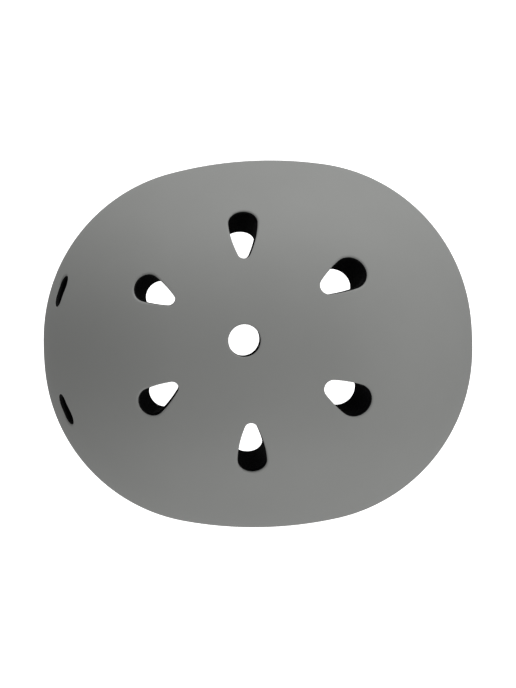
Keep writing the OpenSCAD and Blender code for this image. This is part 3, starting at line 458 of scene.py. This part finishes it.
def edit(obj, *steps):
    """Runs operators on all of obj in edit mode."""
    only(obj)
    bpy.ops.object.mode_set(mode="EDIT")
    bpy.ops.mesh.select_all(action="SELECT")
    for step, settings in steps:
        step(**settings)
    bpy.ops.object.mode_set(mode="OBJECT")


def apply_modifier(obj, kind, **settings):
    only(obj)
    modifier = obj.modifiers.new(kind.lower(), kind)
    for key, value in settings.items():
        setattr(modifier, key, value)
    bpy.ops.object.modifier_apply(modifier=modifier.name)


def smooth(obj, degrees):
    only(obj)
    bpy.ops.object.shade_smooth_by_angle(angle=math.radians(degrees))


def place_of(obj):
    """Settles an object's own place, turn and size into its mesh."""
    only(obj)
    bpy.ops.object.transform_apply(location=True, rotation=True, scale=True)


def finish(obj, name, body, material, slot, *nodes):
    """Names a finished piece, gives it its material and body, and hides what it stands for. A piece
    with no body is left without one."""
    obj.name = name
    obj.data.name = name
    obj.data.materials.clear()
    obj.data.materials.append(material)
    for face in obj.data.polygons:
        face.material_index = 0
    if body:
        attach(obj, body)
    if nodes:
        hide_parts(*nodes)
    return obj


def prism(points, push):
    """A closed prism from a loop of points in millimetres, pushed along a vector."""
    deselect()
    bpy.ops.mesh.primitive_circle_add(vertices=len(points), radius=1, fill_type="NGON")
    obj = bpy.context.object
    for vertex, point in zip(obj.data.vertices, points):
        vertex.co = Vector(point) * MM
    only(obj)
    bpy.ops.object.mode_set(mode="EDIT")
    bpy.ops.mesh.select_all(action="SELECT")
    bpy.ops.mesh.extrude_region_move(TRANSFORM_OT_translate={"value": Vector(push) * MM})
    bpy.ops.mesh.select_all(action="SELECT")
    bpy.ops.mesh.normals_make_consistent(inside=False)
    bpy.ops.object.mode_set(mode="OBJECT")
    return obj


def join(objects):
    deselect()
    for obj in objects:
        obj.select_set(True)
    bpy.context.view_layer.objects.active = objects[0]
    bpy.ops.object.join()
    return bpy.context.object


# Shell. Each vent is cut wider by VENT_CUT, and its lip then rolls in to the real outline.
PROFILE_STEP = 2.6
SPIN_STEPS = 264
RIM_STEP = 3
PAST_TIP = 150
PAST_SIDE = 140
VENT_CUT = 2.0
CUT_FROM = -34
CUT_LENGTH = 62
ON_SURFACE = 0.08
VENT_REACH = 25
LIP_WIDE = 1.7
LIP_TIP = 0.6
LIP_ROUND = 0.9
LIP_PULL = 0.55
LIP_RINGS = 6
# Rings up to this number keep the shell's grey; the rest of each lip is painted shade
GREY_LIP_RINGS = 4


def shell_profile():
    """Points of the half outline from the front tip to the rear tip, evenly spaced."""
    points = [(0.0, -SHELL_TIP)]
    ends = (-SHELL_TIP, seam(SHELL_ARCS, 0), seam(SHELL_ARCS, 2), SHELL_TIP)
    for (mid, off, r), start, end in zip(SHELL_ARCS, ends, ends[1:]):
        first = math.asin(max(min((start - mid) / r, 1), -1))
        last = math.asin(max(min((end - mid) / r, 1), -1))
        n = round((last - first) * r / PROFILE_STEP)
        for k in range(n):
            t = first + (last - first) * k / n
            points.append((off + r * math.cos(t), mid + r * math.sin(t)))
    points.append((SHELL_ARCS[2][1], SHELL_TIP))
    points.append((0.0, SHELL_TIP))
    return points


def whole_dome():
    """The shell's outside as a closed form: its profile spun about the long axis."""
    points = shell_profile()
    deselect()
    bpy.ops.mesh.primitive_circle_add(vertices=len(points), radius=1, fill_type="NOTHING")
    dome = bpy.context.object
    for vertex, (x, y) in zip(dome.data.vertices, points):
        vertex.co = Vector((x, y, 0)) * MM
    # The edge that closes the loop lies on the axis, and goes
    for edge in dome.data.edges:
        edge.select = all(abs(dome.data.vertices[v].co.x) < 1e-9 for v in edge.vertices)
    for vertex in dome.data.vertices:
        vertex.select = False
    bpy.context.tool_settings.mesh_select_mode = (False, True, False)
    bpy.ops.object.mode_set(mode="EDIT")
    bpy.ops.mesh.delete(type="EDGE")
    bpy.ops.mesh.select_all(action="SELECT")
    bpy.ops.mesh.spin(steps=SPIN_STEPS, angle=2 * math.pi, center=(0, 0, 0), axis=(0, 1, 0))
    bpy.ops.mesh.select_all(action="SELECT")
    bpy.ops.mesh.remove_doubles(threshold=0.01 * MM)
    bpy.ops.mesh.normals_make_consistent(inside=False)
    bpy.ops.object.mode_set(mode="OBJECT")
    return dome


def below_rim():
    """What the rim cuts away, as a prism across the helmet."""
    rim = [(-PAST_SIDE, y, rim_z(y)) for y in range(-PAST_TIP, PAST_TIP + 1, RIM_STEP)]
    low = [(-PAST_SIDE, PAST_TIP, -PAST_TIP), (-PAST_SIDE, -PAST_TIP, -PAST_TIP)]
    return prism(rim + low, (2 * PAST_SIDE, 0, 0))


def depth_of(co):
    """How far a vertex's place lies under the shell's outside, in millimetres."""
    return depth_in(SHELL_ARCS, math.hypot(co.x, co.z) / MM, co.y / MM)


def delete_faces(obj, test):
    for item in (*obj.data.vertices, *obj.data.edges):
        item.select = False
    for face in obj.data.polygons:
        face.select = test(face)
    bpy.context.tool_settings.mesh_select_mode = (False, False, True)
    only(obj)
    bpy.ops.object.mode_set(mode="EDIT")
    bpy.ops.mesh.delete(type="FACE")
    bpy.ops.object.mode_set(mode="OBJECT")


def lip_place(vent, home, inner, ring):
    """Where a vent's rounded lip and wall pass, ring by ring, from the place where it was cut.
    After the lip's rings comes the foot of the wall, and last the shell's inside as it was cut."""
    a, b, _ = vent.local(home)
    _, da, db = vent.outward(a, b)
    inward = -(vent.along * da + vent.side * db)
    wide, out, along = outline_at(SHELL_ARCS, home.y)
    r = math.hypot(home.x, home.z)
    normal = Vector((out * home.x / r, along, out * home.z / r))
    slide = inward - vent.run * (inward.dot(normal) / vent.run.dot(normal))
    if vent.round:
        lip = LIP_ROUND
    else:
        lip = LIP_TIP + (LIP_WIDE - LIP_TIP) * eased((a - vent.tip_x) / (vent.wide_x - vent.tip_x))
    start = home + slide * (VENT_CUT - lip)
    corner = home + slide * VENT_CUT
    length = slide.length * lip
    end = corner - vent.run * length
    if ring <= LIP_RINGS:
        t = ring / LIP_RINGS
        near_start = start + (corner - start) * LIP_PULL
        near_end = end + (corner - end) * LIP_PULL
        return (start * (1 - t) ** 3 + near_start * 3 * t * (1 - t) ** 2
                + near_end * 3 * t * t * (1 - t) + end * t ** 3)
    if ring == LIP_RINGS + 1:
        return corner - vent.run * (SHELL_T / vent.run.dot(normal))
    return inner


def cut_dome(vents):
    """The shell with its rim and vents cut and its thickness given, its walls still plain."""
    dome = whole_dome()
    cutters = [below_rim()]
    for vent in vents:
        loop = [vent.place(a, b, CUT_FROM) for a, b in vent.outline(VENT_CUT)]
        cutters.append(prism(loop, vent.run * CUT_LENGTH))
    cutter = join(cutters)
    apply_modifier(dome, "BOOLEAN", operation="DIFFERENCE", solver="EXACT", object=cutter)
    bpy.data.objects.remove(cutter)
    delete_faces(dome, lambda face: depth_of(face.center) > ON_SURFACE)
    apply_modifier(dome, "SOLIDIFY", thickness=SHELL_T * MM, offset=-1, use_even_offset=True)
    return dome


def vent_walls(mesh):
    """The faces of the vents' walls, and each of their outer corners with its inner one's place."""
    walls = set()
    inner_of = {}
    for face in mesh.polygons:
        centre = face.center / MM
        middle = 0.5 < depth_of(face.center) < SHELL_T - 0.5
        if not middle or centre.z < rim_z(centre.y) + SHELL_T:
            continue
        walls.add(face.index)
        loop = list(face.vertices)
        for one, two in zip(loop, loop[1:] + loop[:1]):
            deeper = depth_of(mesh.vertices[two].co) - depth_of(mesh.vertices[one].co)
            if deeper > SHELL_T / 2:
                inner_of[one] = mesh.vertices[two].co.copy()
            elif deeper < -SHELL_T / 2:
                inner_of[two] = mesh.vertices[one].co.copy()
    return walls, inner_of


def vent_at(vents, place):
    """The vent whose outline a place on the shell lies nearest to, of those on that side of it."""
    near = [vent for vent in vents if abs(vent.local(place)[2]) < VENT_REACH]
    return min(near, key=lambda vent: abs(vent.outward(*vent.local(place)[:2])[0]))


def select_open_edges(mesh, marks):
    """Selects the edges with one face only and both ends marked."""
    faces = {}
    for face in mesh.polygons:
        for key in face.edge_keys:
            faces[key] = faces.get(key, 0) + 1
    for item in (*mesh.vertices, *mesh.polygons):
        item.select = False
    for edge in mesh.edges:
        one, two = edge.vertices
        edge.select = bool(marks[one] and marks[two] and faces.get(edge.key, 0) == 1)


def hard_shell():
    """The hard shell: cut, given its thickness, then each vent's edge is rolled in and down."""
    vents = all_vents()
    dome = cut_dome(vents)
    mesh = dome.data
    walls, inner_of = vent_walls(mesh)
    homes = []
    marks = mesh.attributes.new("lip_mark", "INT", "POINT")
    for index, inner in inner_of.items():
        home = mesh.vertices[index].co / MM
        homes.append((vent_at(vents, home), home, inner / MM))
        marks.data[index].value = len(homes)
    delete_faces(dome, lambda face: face.index in walls)
    select_open_edges(dome.data, [m.value for m in dome.data.attributes["lip_mark"].data])
    bpy.context.tool_settings.mesh_select_mode = (False, True, False)
    dome.data.attributes.new("lip_ring", "INT", "POINT")
    for ring in range(LIP_RINGS + 3):
        bpy.ops.object.mode_set(mode="EDIT")
        bpy.ops.mesh.extrude_edges_move()
        bpy.ops.object.mode_set(mode="OBJECT")
        marks = dome.data.attributes["lip_mark"].data
        rings = dome.data.attributes["lip_ring"].data
        for vertex in dome.data.vertices:
            if vertex.select:
                vent, home, inner = homes[marks[vertex.index].value - 1]
                vertex.co = lip_place(vent, home, inner, ring) * MM
                rings[vertex.index].value = ring + 1
    dome.data.attributes.remove(dome.data.attributes["lip_mark"])
    edit(dome,
         (bpy.ops.mesh.remove_doubles, {"threshold": 0.002 * MM}),
         (bpy.ops.mesh.normals_make_consistent, {"inside": False}))
    smooth(dome, 35)
    finish(dome, "hard_shell", "helmet", SHELL_PAINT, "shell", "outer_shell")
    # Past the first rings of each lip, the lip's underside and the vent's wall take a near-black
    # plastic: painted shade, so that each vent reads dark from the lip's edge inward
    dome.data.materials.append(VENT_SHADE_ABS)
    rings = [r.value for r in dome.data.attributes["lip_ring"].data]
    for face in dome.data.polygons:
        reached = [rings[v] for v in face.vertices if rings[v]]
        if reached and min(reached) > GREY_LIP_RINGS:
            face.material_index = 1
    dome.data.attributes.remove(dome.data.attributes["lip_ring"])


hard_shell()


def moulded(node, body, material, slot, edge):
    """The solid's form, with its edges rounded by edge millimetres as a mould leaves them."""
    deselect()
    obj = bpy.data.objects.new(node, cad[node].data.copy())
    bpy.context.scene.collection.objects.link(obj)
    edit(obj,
         (bpy.ops.mesh.remove_doubles, {"threshold": 0.001 * MM}),
         (bpy.ops.mesh.dissolve_limited, {"angle_limit": math.radians(0.5)}))
    apply_modifier(obj, "BEVEL", width=edge * MM, segments=2, limit_method="ANGLE",
                   angle_limit=math.radians(32), use_clamp_overlap=True)
    smooth(obj, 40)
    apply_modifier(obj, "WEIGHTED_NORMAL", mode="FACE_AREA", keep_sharp=True)
    finish(obj, node + "_moulding", body, material, slot, node)


for side in ("left", "right"):
    moulded(side + "_divider", "helmet", ACETAL, "buckle", 0.6)
    moulded(side + "_divider_lever", side + "_lever", ACETAL, "buckle", 0.5)
    moulded(side + "_band", side + "_band", NYLON, "cradle", 0.4)
moulded("buckle_socket", "helmet", ACETAL, "buckle", 0.8)
moulded("buckle_plug", "plug", ACETAL, "buckle", 0.6)
moulded("front_prong", "front_prong", ACETAL, "buckle", 0.3)
moulded("rear_prong", "rear_prong", ACETAL, "buckle", 0.3)
moulded("dial_housing", "cradle", NYLON, "cradle", 0.7)
moulded("dial_cover", "cradle", NYLON, "cradle", 0.5)
moulded("dial_knob", "dial", NYLON, "cradle", 0.3)
moulded("height_stem", "cradle", NYLON, "cradle", 0.4)
moulded("stem_anchor", "helmet", NYLON, "cradle", 0.6)

# Comfort pads: cut flat, filled, welded round the edge and then laid on what carries them
PAD_SWELL = 0.3
PAD_PRESSURE = 4
FILL_FRAMES = 20
PAD_CORNER = 7.0
PAD_VOXEL = 1.8
PAD_EDGE = 1.4
PAD_CROWN = 6.5
WELD_AT = 2.4
WELD_W = 0.7
WELD_DEPTH = 0.45
WELD_OVER = 0.5


def inside_edge(u, v, half_u, half_v, corner):
    """How far a place in a rounded rectangle lies from its edge."""
    du = abs(u) - (half_u - corner)
    dv = abs(v) - (half_v - corner)
    return corner - (math.hypot(max(du, 0), max(dv, 0)) + min(max(du, dv), 0))


def puffed(obj):
    """Fills a pad by cloth simulation under pressure, with each point's move capped."""
    rest = [vertex.co.copy() for vertex in obj.data.vertices]
    only(obj)
    modifier = obj.modifiers.new("cloth", "CLOTH")
    cloth = modifier.settings
    cloth.use_pressure = True
    cloth.uniform_pressure_force = PAD_PRESSURE
    cloth.effector_weights.gravity = 0
    for number in range(1, FILL_FRAMES + 1):
        bpy.context.scene.frame_set(number)
    bpy.ops.object.modifier_apply(modifier=modifier.name)
    bpy.context.scene.frame_set(1)
    cap = PAD_SWELL * MM
    for vertex, was in zip(obj.data.vertices, rest):
        move = vertex.co - was
        if move.length > cap:
            vertex.co = was + move.normalized() * cap


def block(size, height):
    """A plain block of that size in millimetres, its middle at that height."""
    deselect()
    bpy.ops.mesh.primitive_cube_add(size=1)
    obj = bpy.context.object
    obj.scale = Vector(size) * MM
    obj.location = (0, 0, height * MM)
    place_of(obj)
    return obj


def flat_pad(length, width, thick, corner, voxel):
    """A pad as it is made, flat, with rounded corners and filled."""
    size = (length - 2 * PAD_SWELL, width - 2 * PAD_SWELL, thick - 2 * PAD_SWELL)
    obj = block(size, thick / 2)
    for item in (*obj.data.vertices, *obj.data.polygons):
        item.select = False
    # Its upright edges are the corners
    for edge in obj.data.edges:
        one, two = (obj.data.vertices[v].co for v in edge.vertices)
        edge.select = abs(one.z - two.z) > 1e-6
    bpy.context.tool_settings.mesh_select_mode = (False, True, False)
    bpy.ops.object.mode_set(mode="EDIT")
    bpy.ops.mesh.bevel(offset=corner * MM, segments=6, affect="EDGES")
    bpy.ops.object.mode_set(mode="OBJECT")
    obj.data.remesh_voxel_size = voxel * MM
    bpy.ops.object.voxel_remesh()
    puffed(obj)
    apply_modifier(obj, "SUBSURF", levels=1, render_levels=1)
    return obj


def pad(name, node, body, size, lay, corner=PAD_CORNER, voxel=PAD_VOXEL, tunnel=None):
    """A pad of that length, width and thickness, laid by a function from flat to real places.
    One with a tunnel, of that width and height, has plain edges."""
    length, width, thick = size
    obj = flat_pad(length, width, thick, corner, voxel)
    if tunnel:
        hole = block((2 * length, *tunnel), thick / 2)
        apply_modifier(obj, "BOOLEAN", operation="DIFFERENCE", solver="EXACT", object=hole)
        bpy.data.objects.remove(hole)
    for vertex in obj.data.vertices:
        u, v, t = vertex.co / MM
        if not tunnel:
            deep = inside_edge(u, v, length / 2, width / 2, corner)
            rise = math.sqrt(1 - (1 - min(max(deep / PAD_CROWN, 0), 1)) ** 2)
            t *= (PAD_EDGE + (thick - PAD_EDGE) * rise) / thick
            if t > WELD_OVER:
                t -= WELD_DEPTH * math.exp(-((deep - WELD_AT) / WELD_W) ** 2)
        vertex.co = Vector(lay(u, v, min(max(t, 0.0), thick))) * MM
    edit(obj, (bpy.ops.mesh.normals_make_consistent, {"inside": False}))
    smooth(obj, 60)
    finish(obj, name, body, CLOTH, "pad", node)


HOOK_SPACE = 1.6
PAD_T = 7.0
PAD_H = 22.0
PAD_Z = CAVITY_Z - PAD_H / 2
BROW_PAD = (133, PAD_H, PAD_T)
SIDE_PAD = (92, PAD_H, PAD_T)
CROWN_PAD_W = 26
ROUTE_STEPS = 200


def on_brow(u, v, t):
    """A brow pad's place: u along it, v up it and t inward from its back."""
    mid, off, r = CAVITY_ARCS[0]
    back = r - HOOK_SPACE
    turn = max(abs(u) - off, 0) / back
    x = min(abs(u), off) + (back - t) * math.sin(turn)
    return math.copysign(x, u), mid - (back - t) * math.cos(turn), PAD_Z + v


def on_side(sign):
    """The same for a side pad, on the wearer's left with sign 1."""
    mid, off, r = CAVITY_ARCS[1]
    back = r - HOOK_SPACE

    def lay(u, v, t):
        turn = u / back
        return sign * (off + (back - t) * math.cos(turn)), mid + (back - t) * math.sin(turn), PAD_Z + v

    return lay


def crown_route(y0, y1):
    """The length along the cavity's top between two places, and steps on the way."""
    places = []
    total = 0
    last = None
    for i in range(ROUTE_STEPS + 1):
        y = y0 + (y1 - y0) * i / ROUTE_STEPS
        wide, out, along = outline_at(CAVITY_ARCS, y, HOOK_SPACE)
        if last:
            total += math.hypot(wide - last[0], y - last[1])
        last = (wide, y)
        places.append((total, wide, y, out, along))
    return total, places


def on_crown(y0, y1):
    """The length of a crown pad between two places, and its places as on_brow gives them."""
    total, places = crown_route(y0, y1)
    lengths = [place[0] for place in places]

    def lay(u, v, t):
        want = min(max(u + total / 2, 0), total)
        k = min(max(bisect.bisect_left(lengths, want) - 1, 0), ROUTE_STEPS - 1)
        s = (want - places[k][0]) / (places[k + 1][0] - places[k][0])
        wide, y, out, along = (p + (q - p) * s for p, q in zip(places[k][1:], places[k + 1][1:]))
        reach = wide - t * out
        return reach * math.sin(v / wide), y - t * along, CAVITY_Z + reach * math.cos(v / wide)

    return total, lay


pad("brow_comfort_pad", "brow_pad", "helmet", BROW_PAD, on_brow)
for part, sign in (("left", 1), ("right", -1)):
    pad(part + "_comfort_pad", part + "_side_pad", "helmet", SIDE_PAD, on_side(sign))
for part, y0, y1 in (("front", -84.4, -26.4), ("rear", 9.6, 67.6)):
    length, lay = on_crown(y0, y1)
    pad(part + "_crown_comfort_pad", part + "_crown_pad", "helmet", (length, CROWN_PAD_W, PAD_T), lay)

# The cradle's pads lie on the racks' wings and on the dial's housing
DIAL_Z = -84.0
WING_X = 46.1
WING_Y = 53.55
WING_BACK = 47.3
WING_MIDDLE = math.radians(51)
HOUSING_Y = 98.0
HOUSING_Z = -79.95
WING_PAD = (51.2, 18, 5)
NAPE_PAD = (42, 28.9, 5)
CRADLE_CORNER = 5


def on_wing(sign):
    """A wing pad's places, on the wearer's left with sign 1."""

    def lay(u, v, t):
        turn = WING_MIDDLE - sign * u / WING_BACK
        reach = WING_BACK - t
        return sign * (WING_X + reach * math.cos(turn)), WING_Y + reach * math.sin(turn), DIAL_Z + v

    return lay


def on_housing(u, v, t):
    """The nape pad's places, flat on the front of the dial's housing."""
    return u, HOUSING_Y - t, HOUSING_Z + v


for part, sign in (("left", 1), ("right", -1)):
    pad(part + "_wing_comfort_pad", part + "_wing_pad", part + "_band", WING_PAD, on_wing(sign),
        CRADLE_CORNER)
pad("nape_comfort_pad", "nape_pad", "cradle", NAPE_PAD, on_housing, CRADLE_CORNER)

# Chin loop: a plane through both dividers, with x to the wearer's left and y down the loop
LOOP_TOP = Vector((0, -28, -100.62))
LOOP_DOWN = Vector((0, -0.192, -0.9814))
LOOP_WIDE = Vector((0, 0.9814, -0.192))
LOOP_X = 84.73
LOOP_CENTRE = 47.74
CHIN_R = 32.0
CHIN_TOUCH = math.radians(41.39)
LOOP_RUN = (-0.6612, 0.7502)
CHIN_PAD_BACK = 35.9


def in_loop(x, y):
    """A place in the plane of the chin loop."""
    return LOOP_TOP + Vector((x, 0, 0)) + LOOP_DOWN * y


def along_run(s):
    """A place on the straight run from the left divider, that far along it."""
    return in_loop(LOOP_X + LOOP_RUN[0] * s, LOOP_RUN[1] * s)


def round_chin(u, v, t):
    """The chin sleeve's places: u round the chin, v across the webbing and t inward."""
    turn = u / CHIN_PAD_BACK
    reach = CHIN_PAD_BACK - t
    return in_loop(reach * math.sin(turn), LOOP_CENTRE + reach * math.cos(turn)) + LOOP_WIDE * v


pad("chin_sleeve", "chin_pad", "chin_pad", (32.6, 22.2, 7.8), round_chin,
    corner=3.2, voxel=1.2, tunnel=(17.0, 2.6))

# Webbing: flat woven straps along the solid's routes
WEB_W = 16.0
WEB_CLEAR = 0.1
WEB_T = 1.5
WEB_BEND = 9.0
WEB_STEP = 1.2
WEB_CELLS = 16
SELVEDGE = 0.45
RIVET_HOLE = 2.8


def eased_route(points):
    """The route with each inner corner rounded."""
    points = [Vector(p) for p in points]
    route = [points[0]]
    for before, corner, after in zip(points, points[1:], points[2:]):
        back, on = before - corner, after - corner
        start = corner + back.normalized() * min(WEB_BEND, back.length / 2)
        end = corner + on.normalized() * min(WEB_BEND, on.length / 2)
        route += [start * (1 - t) ** 2 + corner * 2 * t * (1 - t) + end * t * t
                  for t in (0, 0.2, 0.4, 0.6, 0.8, 1)]
    return route + [points[-1]]


def webbing(name, node, body, route, across, rivet=None):
    """A flat strap: a grid laid along the route, given its thickness and soft selvedges. A rivet is
    the place and the axis of its hole."""
    lengths = [0]
    for one, two in zip(route, route[1:]):
        lengths.append(lengths[-1] + (two - one).length)
    total = lengths[-1]
    deselect()
    bpy.ops.mesh.primitive_grid_add(
        x_subdivisions=round(total / WEB_STEP), y_subdivisions=WEB_CELLS, size=1)
    obj = bpy.context.object
    across = Vector(across).normalized()
    for vertex in obj.data.vertices:
        u = (vertex.co.x + 0.5) * total
        v = vertex.co.y * (WEB_W - WEB_CLEAR)
        k = max(i for i in range(len(lengths) - 1) if lengths[i] <= u + 1e-9)
        s = (u - lengths[k]) / (lengths[k + 1] - lengths[k])
        vertex.co = (route[k] + (route[k + 1] - route[k]) * s + across * v) * MM
    for loop in obj.data.uv_layers[0].data:
        loop.uv = (loop.uv.x * total * MM, loop.uv.y * WEB_W * MM)
    if rivet:
        at, axis = Vector(rivet[0]), Vector(rivet[1]).normalized()

        def in_hole(face):
            away = face.center / MM - at
            return (away - axis * away.dot(axis)).length < RIVET_HOLE

        delete_faces(obj, in_hole)
    apply_modifier(obj, "SOLIDIFY", thickness=WEB_T * MM, offset=0, use_even_offset=True)
    apply_modifier(obj, "BEVEL", width=SELVEDGE * MM, segments=2, limit_method="ANGLE",
                   angle_limit=math.radians(50))
    smooth(obj, 60)
    return finish(obj, name, body, WEBBING, "webbing", node)


# The left side's rivets, routes and directions across the webbing, as in the solid
FRONT_RIVET = ((111.7, -46.0, -20.0), (0.9656, -0.1944, -0.1729))
REAR_RIVET = ((110.2, 50.0, -28.0), (0.9482, 0.2072, -0.2409))
FRONT_ROUTE = ((107.88, -46.24, -13.34), (105.19, -42.33, -32.77), (90.13, -29.53, -87.86))
FRONT_ACROSS = (-0.2226, -0.9613, -0.1625)
REAR_ROUTE = ((105.78, 53.3, -22.66), (105.36, 38.98, -36.61), (87.2, -22.8, -89.12))
REAR_ACROSS = (0.3171, -0.6666, 0.6746)


def mirrored(points):
    return [(-x, y, z) for x, y, z in points]


for part, route, across, rivet in (("front", FRONT_ROUTE, FRONT_ACROSS, FRONT_RIVET),
                                   ("rear", REAR_ROUTE, REAR_ACROSS, REAR_RIVET)):
    webbing("left_" + part + "_webbing", "left_" + part + "_strap", "helmet",
            eased_route(route), across, rivet)
    webbing("right_" + part + "_webbing", "right_" + part + "_strap", "helmet",
            eased_route(mirrored(route)), mirrored([across])[0], mirrored(rivet))

# The chin webbing runs from the left divider to the socket, and from the plug round the chin to
# the right divider. Distances are along the straight run from the left divider.
SOCKET_AT = 27.0
PLUG_START = 55.15
CHIN_STEPS = 24
left_chin = [along_run(0), along_run(SOCKET_AT)]
webbing("left_chin_webbing", "left_chin_strap", "helmet", left_chin, LOOP_WIDE)
right_chin = [along_run(PLUG_START)]
for i in range(CHIN_STEPS + 1):
    turn = CHIN_TOUCH + (math.pi - 2 * CHIN_TOUCH) * i / CHIN_STEPS
    right_chin.append(in_loop(CHIN_R * math.cos(turn), LOOP_CENTRE + CHIN_R * math.sin(turn)))
right_chin.append(in_loop(-LOOP_X, 0))
chin_webbing = webbing("right_chin_webbing", "right_chin_strap", None, right_chin, LOOP_WIDE)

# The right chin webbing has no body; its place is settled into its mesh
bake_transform(chin_webbing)

# Solids whose form is already right take their real finish
for node, material in (
    ("eps_liner", FOAM),
    ("edge_trim", RUBBER),
    ("hook_dots", HOOKS),
    ("strap_rivets", BLACK_STEEL),
    ("rivet_washers", BARE_STEEL),
    ("lever_pins", BARE_STEEL),
    ("dial_screw", BARE_STEEL),
    ("pinion", GEAR),
    ("anchor_pin", NYLON),
):
    cad[node].data.materials.clear()
    cad[node].data.materials.append(material)

# Floor: white and evenly lit, just under the chin loop
deselect()
bpy.ops.mesh.primitive_plane_add(size=60, location=(0, 0, cad_low[2] - MM))
floor = bpy.context.object
floor.name = "floor"
floor_white, _, floor_surface = finish_of("white_floor", 0.9, 1.5, 0.0)
floor_surface.inputs["Base Color"].default_value = linear("#e6e6e6")
floor_surface.inputs["Emission Color"].default_value = linear("#ffffff")
floor_surface.inputs["Emission Strength"].default_value = 1.0
floor.data.materials.append(floor_white)
floor.visible_diffuse = False
floor.visible_glossy = False

deselect()
